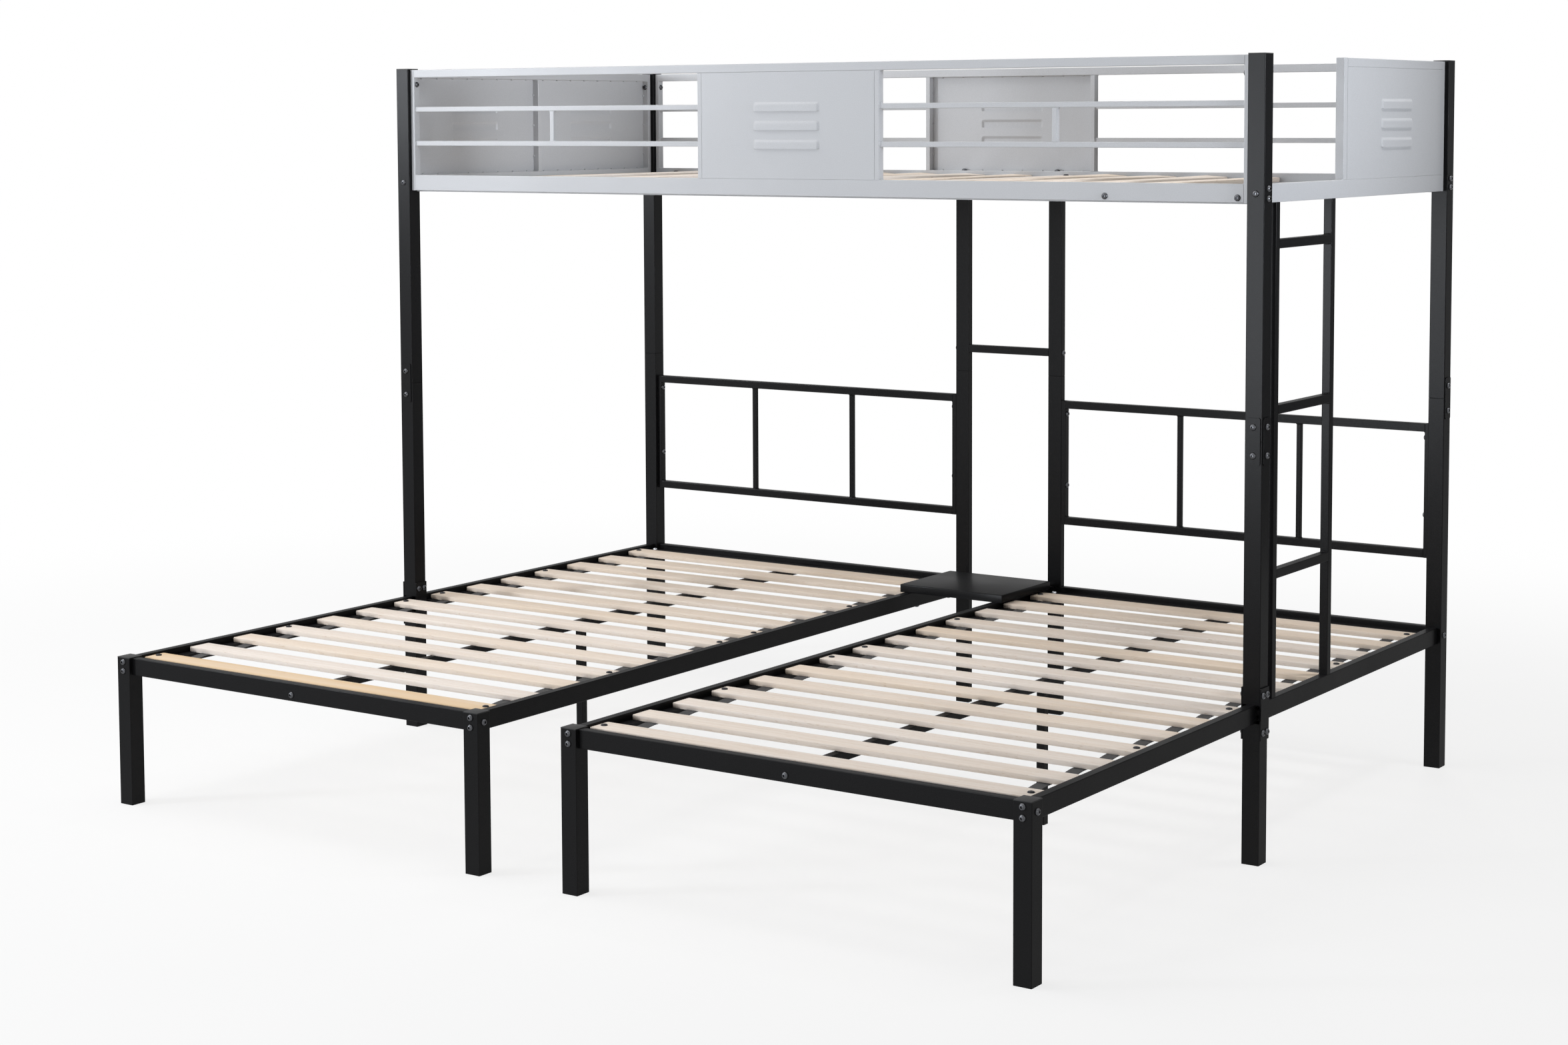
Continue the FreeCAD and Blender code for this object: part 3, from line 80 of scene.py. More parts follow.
class BedFinishes(bpy.types.PropertyGroup):
    """Colours of the bed and of the floor it stands on."""
    black_coat: tint("#111112", "Black coat", "Powder coat of posts, rails, headboards and ladder")
    black_haze: tint("#1a1a1b", "Black coat haze", "Where the black coat lies a little thicker")
    silver_coat: tint("#b9babc", "Silver coat", "Powder coat of the upper bunk's guards")
    silver_flake: tint("#c2c3c6", "Silver flake", "Aluminium flake in the silver coat")
    birch: tint("#f5ece4", "Birch", "Sanded face of the slats")
    birch_grain: tint("#e4d5c6", "Birch grain", "Darker streaks along the slats")
    # Also mixed in towards the head, as painted warm bounce light and shade under the upper bunk.
    birch_warm: tint("#e9cca6", "Warm birch", "Slats cut from heartwood")
    birch_ply: tint("#c2a58a", "Birch plies", "Glue lines on the slats' edges")
    webbing: tint("#1a1a1b", "Webbing", "Straps under the slats")
    # Painted highlight on the straps' raised threads.
    webbing_sheen: tint("#353537", "Webbing thread", "Raised threads of the straps")
    black_zinc: tint("#525356", "Black zinc", "Bolts of the frame")
    black_oxide: tint("#2b2b2d", "Black oxide", "Slat screws")
    bright_zinc: tint("#c3c6ca", "Bright zinc", "Worn rims of the bolts and the strip's bolts")
    plain_steel: tint("#8d8f92", "Plain steel", "Plugs and sleeves inside the tubes")
    cap_plastic: tint("#151516", "Cap plastic", "Caps in the post ends")
    floor: tint("#f4f4f3", "Floor", "Studio floor")


class BedSizes(bpy.types.PropertyGroup):
    """Sizes of the pieces that are finished here; the frame itself keeps its own."""
    slat_corner: length(0.004, "Slat corner", "Corner radius of a slat, seen from above")
    slat_ease: length(0.0016, "Slat ease", "Sanded edge of a slat")
    slat_stray: length(0.0012, "Slat stray", "How far a slat lies off its place")
    slat_bow: length(0.004, "Slat bow", "Most that a loose slat arches up")
    slat_bends: IntProperty(name="Slat bends", description="Lengths that a warped slat is made of",
                            default=16, min=1)
    strap_sag: length(0.0025, "Strap sag", "Sag of the webbing between two slats")
    strap_step: length(0.009, "Strap step", "Length of a strap's smallest bend")
    sheet: length(0.0015, "Sheet", "Sheet of the panels and of the shelf")
    louvre_long: length(0.180, "Louvre length", "Pressed louvre")
    louvre_tall: length(0.0215, "Louvre height", "Pressed louvre")
    louvre_face: length(0.0135, "Louvre face", "Flat front of a louvre")
    louvre_slope: length(0.009, "Louvre slope", "Run of the slope at a louvre's ends")
    louvre_pitch: length(0.042, "Louvre pitch", "Louvre to louvre")
    louvre_corner: length(0.007, "Louvre corner", "Radius of a louvre's upper corners, on the sheet")
    louvre_heel: length(0.003, "Louvre heel", "Radius of a louvre's lower corners, on the sheet")
    louvres: IntProperty(name="Louvres", description="Louvres in each sheet", default=3, min=0)
    fold: length(0.0022, "Fold", "Bend radius of the shelf's edges")
    tray_lip: length(0.040, "Tray lip", "Shelf's return lip on each rail")
    cap_plate: length(0.002, "Cap plate", "Part of a cap above its tube")
    cap_inset: length(0.0017, "Cap inset", "Step from a cap's rim in to its spigot")
    cap_ease: length(0.0009, "Cap ease", "Rounded rim of a cap")
    head_tall: length(0.0045, "Bolt head height", "Button head")
    head_wide: length(0.014, "Bolt head width", "Button head")
    bolt_shank: length(0.004, "Bolt shank", "Radius of a bolt's shank")
    hex_key: length(0.005, "Hex key", "Socket of a bolt, across its flats")
    screw_head_tall: length(0.003, "Screw head height", "Slat screw")
    screw_shank: length(0.0025, "Screw shank", "Radius of a slat screw's shank")
    screw_recess: length(0.0018, "Screw recess", "Depth of a slat screw's cross recess")
    weld: length(0.003, "Weld", "Radius of a weld bead")
    tack: length(0.007, "Tack", "Length of a tack weld")
    tacks: IntProperty(name="Tacks", description="Tack welds along a sheet's level edge", default=8, min=0)
    upright_tacks: IntProperty(name="Upright tacks", description="Tack welds along a sheet's upright edge",
                               default=3, min=0)


# Shaping

def place_at(low, high):
    """Matrix that takes a unit cube to a box."""
    return Matrix.Translation((low + high) / 2) @ Matrix.Diagonal((*(high - low), 1.0))


def box_of(points):
    return Vector(map(min, zip(*points))), Vector(map(max, zip(*points)))


def solids(node):
    """Points of each separate solid of a frame node, from a merged copy of its mesh."""
    shape = bmesh.new()
    shape.from_mesh(frame["nodes"][node].data)
    bmesh.ops.remove_doubles(shape, verts=shape.verts, dist=1e-6)
    for face in shape.faces:
        face.tag = False
    found = []
    for face in shape.faces:
        if face.tag:
            continue
        face.tag = True
        island = [face]
        for known in island:
            for edge in known.edges:
                if len(edge.link_faces) != 2:
                    continue
                for other in edge.link_faces:
                    if not other.tag:
                        other.tag = True
                        island.append(other)
        found.append([vert.co.copy() for known in island for vert in known.verts])
    shape.free()
    return found


def boxes(*names):
    return [box_of(points) for name in names for points in solids(name)]


def stamp(shape, pattern, matrix):
    """Add a moved copy of a pattern mesh to a shape."""
    copy = pattern.copy()
    copy.transform(matrix)
    shape.from_mesh(copy)
    bpy.data.meshes.remove(copy)


def as_mesh(name, shape):
    mesh = bpy.data.meshes.new(name)
    shape.to_mesh(mesh)
    shape.free()
    return mesh


def round_edges(shape, edges, radius, segments):
    bmesh.ops.bevel(shape, geom=edges, offset=radius, offset_type="OFFSET", segments=segments, profile=0.5,
                    affect="EDGES", material=-1, clamp_overlap=True)


def add_piece(name, mesh, material, stands_for=(), crease=35):
    """Make a mesh a piece of the bed: shaded, coated and riding on the frame."""
    mesh.materials.append(material)
    mesh.shade_smooth()
    mesh.set_sharp_from_angle(angle=math.radians(crease))
    piece = bpy.data.objects.new(name, mesh)
    bpy.context.scene.collection.objects.link(piece)
    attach(piece, "root")
    if stands_for:
        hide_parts(*stands_for)
    return piece


# Materials

def add(tree, kind, inputs=None, **settings):
    """Add a shader node with its settings, and link or fill its inputs."""
    made = tree.nodes.new("ShaderNode" + kind)
    for name, value in settings.items():
        setattr(made, name, value)
    for socket, value in (inputs or {}).items():
        if isinstance(value, bpy.types.NodeSocket):
            tree.links.new(value, made.inputs[socket])
        else:
            made.inputs[socket].default_value = value
    return made


def repeats(millimetres):
    """Texture scale, per metre, of a detail of that size."""
    return 1000.0 / millimetres


def bands(millimetres):
    """Wave texture scale of bands at that spacing; its waves run 20 radians per unit."""
    return math.tau * repeats(millimetres) / 20.0


def surface(name, inputs):
    """Material of one principled surface, and the tree that its details go in."""
    material = bpy.data.materials.get(name) or bpy.data.materials.new(name)
    material.use_nodes = True
    tree = material.node_tree
    tree.nodes.clear()
    shader = add(tree, "BsdfPrincipled", inputs)
    add(tree, "OutputMaterial", {"Surface": shader.outputs[0]})
    return material, tree, shader


def dress(tree, shader, base, dull, bump):
    """Give a surface its colour, its roughness and its relief."""
    tree.links.new(base.outputs[2], shader.inputs["Base Color"])
    tree.links.new(dull.outputs[0], shader.inputs["Roughness"])
    tree.links.new(bump.outputs[0], shader.inputs["Normal"])


def powder_coat(name, even, fleck, roughness, gloss, skin, peel_depth):
    """Polyester powder baked on steel: a satin skin with fine orange peel, uneven where it lies thicker."""
    material, tree, shader = surface(name, {"Specular IOR Level": gloss, "Coat Weight": skin, "Coat IOR": 2.2,
                                            "Coat Roughness": 0.22})
    where = add(tree, "TexCoord").outputs["Object"]
    mottle = add(tree, "TexNoise", {"Vector": where, "Scale": repeats(160), "Detail": 2.0})
    # Real peel is about 1 mm wide; it is drawn at 2.5 mm, so that it shows.
    peel = add(tree, "TexNoise", {"Vector": where, "Scale": repeats(2.5), "Detail": 2.0})
    grit = add(tree, "TexNoise", {"Vector": where, "Scale": repeats(1.6), "Detail": 1.0})
    share = add(tree, "MapRange", {"Value": grit.outputs[0], "From Min": 0.35, "From Max": 0.75})
    base = add(tree, "Mix", {0: share.outputs[0], 6: even, 7: fleck}, data_type="RGBA")
    dull = add(tree, "MapRange", {"Value": mottle.outputs[0], "From Min": 0.3, "From Max": 0.7,
                                  "To Min": roughness - 0.03, "To Max": roughness + 0.04})
    bump = add(tree, "Bump", {"Height": peel.outputs[0], "Strength": peel_depth, "Distance": 0.0004})
    dress(tree, shader, base, dull, bump)
    tree.links.new(bump.outputs[0], shader.inputs["Coat Normal"])
    return material


def birch_ply(name, finishes, quarter_turn):
    """Rotary-cut birch ply, sanded and bare: pale face, long soft streaks, short flecks, brown glue lines."""
    material, tree, shader = surface(name, {"Specular IOR Level": 0.12})
    where = add(tree, "TexCoord").outputs["Object"]
    along = add(tree, "Mapping", {"Vector": where, "Rotation": (0.0, 0.0, quarter_turn * math.pi / 2)})
    drawn = add(tree, "Mapping", {"Vector": along.outputs[0], "Scale": (1 / 28, 1.0, 1.0)})
    streak = add(tree, "TexNoise", {"Vector": drawn.outputs[0], "Scale": repeats(7), "Detail": 5.0,
                                    "Roughness": 0.62, "Distortion": 0.5})
    broad = add(tree, "TexNoise", {"Vector": drawn.outputs[0], "Scale": repeats(24), "Detail": 2.0})
    short = add(tree, "Mapping", {"Vector": along.outputs[0], "Scale": (1 / 9, 1.0, 1.0)})
    fleck = add(tree, "TexNoise", {"Vector": short.outputs[0], "Scale": repeats(1.8), "Detail": 2.0})
    grain = add(tree, "MapRange", {"Value": streak.outputs[0], "From Min": 0.42, "From Max": 0.72,
                                   "To Max": 0.75})
    faced = add(tree, "Mix", {0: grain.outputs[0], 6: finishes.birch, 7: finishes.birch_grain},
                data_type="RGBA")
    pores = add(tree, "MapRange", {"Value": fleck.outputs[0], "From Min": 0.62, "From Max": 0.74,
                                   "To Max": 0.55})
    flecked = add(tree, "Mix", {0: pores.outputs[0], 6: faced.outputs[2], 7: finishes.birch_ply},
                  data_type="RGBA")
    # The tone holds a slat's heartwood share and the painted warm bounce light and shade towards the head.
    tone = add(tree, "Attribute", attribute_name="tone")
    cloud = add(tree, "MapRange", {"Value": broad.outputs[0], "From Min": 0.35, "From Max": 0.75,
                                   "To Min": 0.75, "To Max": 1.25})
    warmth = add(tree, "Math", {0: tone.outputs["Fac"], 1: cloud.outputs[0]}, operation="MULTIPLY",
                 use_clamp=True)
    toned = add(tree, "Mix", {0: warmth.outputs[0], 6: flecked.outputs[2], 7: finishes.birch_warm},
                data_type="RGBA")
    upright = add(tree, "SeparateXYZ", {0: add(tree, "NewGeometry").outputs["Normal"]})
    level = add(tree, "Math", {0: upright.outputs["Z"]}, operation="ABSOLUTE")
    edge = add(tree, "MapRange", {"Value": level.outputs[0], "From Min": 0.75, "From Max": 0.35})
    # Plies of 2.2 mm, five to a slat.
    plies = add(tree, "TexWave", {"Vector": where, "Scale": bands(2.2), "Distortion": 1.5, "Detail": 2.0,
                                  "Detail Scale": 0.2}, bands_direction="Z")
    glue = add(tree, "MapRange", {"Value": plies.outputs[1], "From Min": 0.45, "To Max": 0.12})
    sided = add(tree, "Math", {0: edge.outputs[0], 1: glue.outputs[0]}, operation="MULTIPLY")
    base = add(tree, "Mix", {0: sided.outputs[0], 6: toned.outputs[2], 7: finishes.birch_ply},
               data_type="RGBA")
    dull = add(tree, "MapRange", {"Value": streak.outputs[0], "To Min": 0.58, "To Max": 0.78})
    bump = add(tree, "Bump", {"Height": streak.outputs[0], "Strength": 0.18, "Distance": 0.0006})
    dress(tree, shader, base, dull, bump)
    return material


def woven_strap(name, finishes):
    """Flat polypropylene webbing: a tight plain weave, with a dull shine and a painted highlight on each
    raised thread.
    """
    material, tree, shader = surface(name, {"Specular IOR Level": 0.4, "Sheen Weight": 0.15,
                                            "Sheen Roughness": 0.4})
    where = add(tree, "TexCoord").outputs["Object"]
    # Threads of 1.3 mm are drawn at 2.6 mm, so that they show.
    warp = add(tree, "TexWave", {"Vector": where, "Scale": bands(2.6)}, bands_direction="X")
    weft = add(tree, "TexWave", {"Vector": where, "Scale": bands(2.6)}, bands_direction="Y")
    over = add(tree, "Math", {0: warp.outputs[1], 1: weft.outputs[1]}, operation="MULTIPLY")
    fuzz = add(tree, "TexNoise", {"Vector": where, "Scale": repeats(1.2), "Detail": 2.0})
    lit = add(tree, "Math", {0: over.outputs[0], 1: fuzz.outputs[0]}, operation="MULTIPLY")
    # Raised threads get a lighter colour: a painted highlight.
    base = add(tree, "Mix", {0: lit.outputs[0], 6: finishes.webbing, 7: finishes.webbing_sheen},
               data_type="RGBA")
    dull = add(tree, "MapRange", {"Value": over.outputs[0], "To Min": 0.75, "To Max": 0.5})
    bump = add(tree, "Bump", {"Height": over.outputs[0], "Strength": 0.6, "Distance": 0.0005})
    dress(tree, shader, base, dull, bump)
    return material


def plated_steel(name, even, worn, roughness, wear):
    """Plain, zinc-plated or blackened steel: a smooth metal, clouded by its bath and rubbed in patches."""
    material, tree, shader = surface(name, {"Metallic": 1.0})
    where = add(tree, "TexCoord").outputs["Object"]
    cloud = add(tree, "TexNoise", {"Vector": where, "Scale": repeats(6), "Detail": 4.0})
    rub = add(tree, "TexNoise", {"Vector": where, "Scale": repeats(2.2), "Detail": 3.0, "Roughness": 0.6})
    share = add(tree, "MapRange", {"Value": rub.outputs[0], "From Min": 0.55, "From Max": 0.8,
                                   "To Max": wear})
    base = add(tree, "Mix", {0: share.outputs[0], 6: even, 7: worn}, data_type="RGBA")
    dull = add(tree, "MapRange", {"Value": cloud.outputs[0], "From Min": 0.3, "From Max": 0.7,
                                  "To Min": roughness - 0.07, "To Max": roughness + 0.1})
    bump = add(tree, "Bump", {"Height": rub.outputs[0], "Strength": 0.06, "Distance": 0.0002})
    dress(tree, shader, base, dull, bump)
    return material


def moulded_cap(name, even, fleck):
    """Injection-moulded polyethylene: matt black, with the fine spark-eroded grain of its mould."""
    material, tree, shader = surface(name, {"IOR": 1.5, "Specular IOR Level": 0.3})
    where = add(tree, "TexCoord").outputs["Object"]
    # Mould grain of 0.4 mm is drawn at 1 mm, so that it shows.
    grain = add(tree, "TexNoise", {"Vector": where, "Scale": repeats(1.0), "Detail": 3.0})
    base = add(tree, "Mix", {0: grain.outputs[0], 6: even, 7: fleck}, data_type="RGBA")
    dull = add(tree, "MapRange", {"Value": grain.outputs[0], "To Min": 0.5, "To Max": 0.68})
    bump = add(tree, "Bump", {"Height": grain.outputs[0], "Strength": 0.2, "Distance": 0.0002})
    dress(tree, shader, base, dull, bump)
    return material


def finish(name):
    """One of the finishes that coating the frame has made."""
    return bpy.data.materials[name]


class BUNK_OT_coat_frame(bpy.types.Operator):
    """Make the bed's finishes and give every tube, plate and fitting of the frame its own"""
    bl_idname = "bunk.coat_frame"
    bl_label = "Coat the frame"

    def execute(self, context):
        colours = context.scene.bed_finishes
        powder_coat("black_powder_coat", colours.black_coat, colours.black_haze,
                    roughness=0.45, gloss=0.02, skin=0.055, peel_depth=0.10)
        powder_coat("silver_powder_coat", colours.silver_coat, colours.silver_flake,
                    roughness=0.42, gloss=0.35, skin=0.05, peel_depth=0.03)
        birch_ply("birch_slat", colours, quarter_turn=0)
        birch_ply("birch_slat_across", colours, quarter_turn=1)
        plated_steel("black_zinc_bolt", colours.black_zinc, colours.bright_zinc, roughness=0.30, wear=0.25)
        plated_steel("black_oxide_screw", colours.black_oxide, colours.black_zinc, roughness=0.42, wear=0.5)
        plated_steel("bright_zinc_bolt", colours.bright_zinc, colours.plain_steel, roughness=0.28, wear=0.5)
        plated_steel("plain_steel", colours.plain_steel, colours.bright_zinc, roughness=0.42, wear=0.3)
        woven_strap("black_webbing", colours)
        moulded_cap("black_plastic", colours.cap_plastic, colours.black_haze)
        for part in frame["record"]["subparts"]:
            coated = frame["nodes"][part["node"]].data.materials
            coated.clear()
            coated.append(finish(part["material_slot"]))
        return {"FINISHED"}


# Share of warm birch in a slat's tone: the most that a slat has by chance, as heartwood; what each metre
# towards the head adds, as painted warm bounce light and shade under the upper bunk; and that of the left
# bed's first slat.
CHANCE_WARMTH = 0.35
HEAD_BOUNCE_WARMTH = 0.08
HEARTWOOD = 0.95
# Straps hold the lower beds' slats, which bow by this share of a free one.
STRAPPED_BOW = 0.25
# A slat's corner lifts by a share of its bow, between these two, and a slat turns by up to so many degrees.
CORNER_LIFT = (0.4, 1.6)
SLAT_TURN = 0.08


class BUNK_OT_lay_slats(bpy.types.Operator):
    """Lay the rounded birch slats of the three bunks, each a little off its place and of its own tone"""
    bl_idname = "bunk.lay_slats"
    bl_label = "Lay slats"

    def slat(self, size, along, sizes):
        """Flat slat about the origin, cut into short lengths so that it can warp."""
        shape = bmesh.new()
        bmesh.ops.create_cube(shape, size=1.0, matrix=Matrix.Diagonal((*size, 1.0)))
        corners = [edge for edge in shape.edges if abs(edge.verts[0].co.z - edge.verts[1].co.z) > size.z / 2]
        round_edges(shape, corners, sizes.slat_corner, 5)
        rims = [edge for edge in shape.edges if abs(edge.verts[0].co.z - edge.verts[1].co.z) < size.z / 2]
        round_edges(shape, rims, sizes.slat_ease, 2)
        square = Vector((float(along == 0), float(along == 1), 0.0))
        for i in range(1, sizes.slat_bends):
            everything = shape.verts[:] + shape.edges[:] + shape.faces[:]
            at = square * size[along] * (i / sizes.slat_bends - 0.5)
            bmesh.ops.bisect_plane(shape, geom=everything, plane_co=at, plane_no=square, dist=1e-6)
        return as_mesh("slat_pattern", shape)

    def warped(self, pattern, size, along, bow, lift):
        """Copy of a slat, arched by its bow, with a far corner lifted off the ledge."""
        mesh = pattern.copy()
        for vert in mesh.vertices:
            reach = 2 * vert.co[along] / size[along]
            side = 2 * vert.co[1 - along] / size[1 - along]
            vert.co.z += bow * (1 - reach * reach) + lift * max(reach, 0.0) ** 2 * (1 - side) / 2
        return mesh

    def execute(self, context):
        sizes = context.scene.bed_sizes
        chance = random.Random(SEED)
        screws = [(low + high) / 2 for low, high in boxes("slat_screws")]
        for node, material, along in (("left_slats", "birch_slat", 0), ("right_slats", "birch_slat", 0),
                                      ("upper_slats", "birch_slat_across", 1)):
            spans = sorted(boxes(node), key=lambda span: tuple(span[0]))
            size = spans[0][1] - spans[0][0]
            pattern = self.slat(size, along, sizes)
            shape = bmesh.new()
            tones = []
            first = min(low.y for low, high in spans)
            for low, high in spans:
                loose = not any(low.x < at.x < high.x and low.y < at.y < high.y for at in screws)
                warp = sizes.slat_bow * (1.0 if along else STRAPPED_BOW) * loose
                bow = warp * chance.random()
                mesh = self.warped(pattern, size, along, bow, warp * chance.uniform(*CORNER_LIFT))
                stray = Vector((chance.uniform(-1, 1), chance.uniform(-1, 1), 0.0)) * sizes.slat_stray
                twist = Matrix.Rotation(math.radians(chance.uniform(-SLAT_TURN, SLAT_TURN)), 4, "Z")
                stamp(shape, mesh, Matrix.Translation((low + high) / 2 + stray) @ twist)
                bpy.data.meshes.remove(mesh)
                # Heartwood by chance, plus painted warm bounce light and shade that grows towards the head.
                tone = chance.uniform(0.0, CHANCE_WARMTH) + HEAD_BOUNCE_WARMTH * (low.y - first)
                if node == "left_slats" and low.y == first:
                    tone = HEARTWOOD
                tones += [tone] * len(pattern.vertices)
            bpy.data.meshes.remove(pattern)
            mesh = as_mesh(node + "_laid", shape)
            mesh.attributes.new("tone", "FLOAT", "POINT").data.foreach_set("value", tones)
            add_piece(node + "_laid", mesh, finish(material), (node,), crease=50)
        return {"FINISHED"}


class BUNK_OT_sew_straps(bpy.types.Operator):
    """Run the woven straps under the slats of the lower beds, with a little sag between the slats"""
    bl_idname = "bunk.sew_straps"
    bl_label = "Sew straps"

    def execute(self, context):
        sizes = context.scene.bed_sizes
        for side in ("left", "right"):
            node = f"{side}_slat_straps"
            rests = sorted((low.y, high.y) for low, high in boxes(f"{side}_slats"))
            gaps = [(before[1], after[0]) for before, after in zip(rests, rests[1:])]
            shape = bmesh.new()
            for low, high in boxes(node):
                size = high - low
                strap = bmesh.new()
                steps = round(size.y / sizes.strap_step)
                flat = Matrix.Translation((low + high) / 2) @ Matrix.Diagonal((size.x, size.y, 1.0, 1.0))
                bmesh.ops.create_grid(strap, x_segments=4, y_segments=steps, size=0.5, matrix=flat)
                for vert in strap.verts:
                    for start, end in gaps:
                        if start < vert.co.y < end:
                            rise = math.sin(math.pi * (vert.co.y - start) / (end - start)) ** 2
                            vert.co.z -= sizes.strap_sag * rise
                bmesh.ops.solidify(strap, geom=strap.faces[:], thickness=size.z)
                lift = high.z - max(vert.co.z for vert in strap.verts)
                bmesh.ops.translate(strap, verts=strap.verts, vec=(0.0, 0.0, lift))
                mesh = as_mesh("strap_pattern", strap)
                shape.from_mesh(mesh)
                bpy.data.meshes.remove(mesh)
            bmesh.ops.recalc_face_normals(shape, faces=shape.faces)
            add_piece(f"{side}_straps_sewn", as_mesh(node, shape), finish("black_webbing"),
                      (node,))
        return {"FINISHED"}


def lathe(outline, segments):
    """Shape spun about Z from an outline of radius and height, with its seam and poles merged."""
    shape = bmesh.new()
    verts = [shape.verts.new((radius, 0.0, height)) for radius, height in outline]
    edges = [shape.edges.new(pair) for pair in zip(verts, verts[1:])]
    bmesh.ops.spin(shape, geom=verts + edges, axis=(0.0, 0.0, 1.0), cent=(0.0, 0.0, 0.0), steps=segments,
                   angle=math.tau, use_merge=True)
    bmesh.ops.remove_doubles(shape, verts=shape.verts, dist=1e-6)
    return shape


def turned(name, rings, shank, reach, drive, depth, segments=12):
    """Fastener along +Z, seated at the origin: head rings of radius and height, a shank, a driven recess."""
    shape = lathe([(0.0, -reach), (shank, -reach), (shank, 0.0), *rings], segments)
    top = rings[-1][1]
    rim = [edge for edge in shape.edges if edge.is_boundary]
    cover = bmesh.ops.contextual_create(shape, geom=rim)["faces"]
    bmesh.ops.inset_region(shape, faces=cover, thickness=rings[-1][0] * 0.1)
    floor = bmesh.ops.extrude_discrete_faces(shape, faces=cover)["faces"][0]
    around = sorted(floor.verts, key=lambda vert: math.atan2(vert.co.y, vert.co.x))
    for vert, (x, y) in zip(around, sorted(drive, key=lambda point: math.atan2(point[1], point[0]))):
        for edge in vert.link_edges:
            other = edge.other_vert(vert)
            if other not in around:
                other.co = (x, y, top)
        vert.co = (x, y, top - depth)
    bmesh.ops.recalc_face_normals(shape, faces=shape.faces)
    return as_mesh(name, shape)


def hex_socket(across, corners=12):
    """Outline of a hex socket with the middle of each flat, so with as many points as the head has sides."""
    points = []
    for i in range(corners):
        reach = across / 2 if i % 2 else across / 2 / math.cos(math.pi / 6)
        points.append((reach * math.cos(math.tau * i / corners), reach * math.sin(math.tau * i / corners)))
    return points


def cross_slot(reach, half):
    """Outline of a cross recess."""
    quarter = [(reach, -half), (reach, half), (half, half)]
    points = []
    for turn in range(4):
        c, s = round(math.cos(turn * math.pi / 2)), round(math.sin(turn * math.pi / 2))
        points += [(c * x - s * y, s * x + c * y) for x, y in quarter]
    return points


def fastener_place(points, head_tall):
    """Matrix and shank length of a fastener, from the points of its solid: the head is the wide end."""
    low, high = box_of(points)
    middle = (low + high) / 2
    mean = sum(points, Vector()) / len(points)
    lean = mean - middle
    axis = max(range(3), key=lambda i: abs(lean[i]))
    far = {end: [p for p in points if abs(p[axis] - bound[axis]) < head_tall / 3]
           for end, bound in ((-1, low), (1, high))}
    wide = {end: max((p - middle).length_squared - (p[axis] - middle[axis]) ** 2 for p in group)
            for end, group in far.items()}
    sign = 1 if wide[1] > wide[-1] else -1
    way = Vector()
    way[axis] = sign
    top = high[axis] if sign > 0 else low[axis]
    seat = middle.copy()
    seat[axis] = top - sign * head_tall
    turn = way.to_track_quat("Z", "Y").to_matrix().to_4x4()
    return Matrix.Translation(seat) @ turn, (high - low)[axis] - head_tall


# Heads from seat to crown, in shares of their radius and height.
BUTTON_HEAD = ((1.0, 0.0), (1.0, 0.18), (0.86, 0.62), (0.62, 0.9), (0.46, 1.0))
PAN_HEAD = ((1.0, 0.0), (1.0, 0.35), (0.85, 0.8), (0.6, 1.0))
# Depth of a bolt's socket, in shares of its head's height, and arms of a screw's recess, of its radius.
SOCKET_DEPTH = 0.6
CROSS_REACH = 0.42
CROSS_HALF = 0.1
# Upright bolts that sit lower than this hold the strips of the lower beds, and are bright.
STRIPS_BELOW = 0.4


class BUNK_OT_fit_fasteners(bpy.types.Operator):
    """Fit the button-head bolts of the frame and the cross-recessed screws of the slats"""
    bl_idname = "bunk.fit_fasteners"
    bl_label = "Fit fasteners"

    def execute(self, context):
        sizes = context.scene.bed_sizes
        wide = sizes.head_wide / 2
        cross = cross_slot(wide * CROSS_REACH, wide * CROSS_HALF)
        kinds = (("frame_bolts", "black_zinc_bolt", BUTTON_HEAD, sizes.bolt_shank, sizes.head_tall,
                  hex_socket(sizes.hex_key), sizes.head_tall * SOCKET_DEPTH),
                 ("slat_screws", "black_oxide_screw", PAN_HEAD, sizes.screw_shank, sizes.screw_head_tall,
                  cross, sizes.screw_recess))
        for node, plain, profile, shank, head_tall, drive, depth in kinds:
            head = [(wide * radius, head_tall * height) for radius, height in profile]
            shapes = {"": bmesh.new(), "_bright": bmesh.new()}
            patterns = {}
            for points in solids(node):
                matrix, reach = fastener_place(points, head_tall)
                key = round(reach, 5)
                if key not in patterns:
                    patterns[key] = turned(f"{node}_{len(patterns)}", head, shank, reach, drive, depth)
                upright = (matrix.to_3x3() @ Vector((0.0, 0.0, 1.0))).z > 0.5
                bright = node == "frame_bolts" and upright and matrix.translation.z < STRIPS_BELOW
                stamp(shapes["_bright" if bright else ""], patterns[key], matrix)
            for pattern in patterns.values():
                bpy.data.meshes.remove(pattern)
            for word, shape in shapes.items():
                if not shape.verts:
                    shape.free()
                    continue
                material = finish("bright_zinc_bolt" if word else plain)
                add_piece(f"{node}_turned{word}", as_mesh(node + word, shape), material,
                          (node,), crease=40)
        return {"FINISHED"}


# Height of a louvre's slope at even steps from the sheet to its front: a soft S.
RISE = (0.0, 0.10, 0.30, 0.53, 0.76, 0.90, 0.97, 1.0)


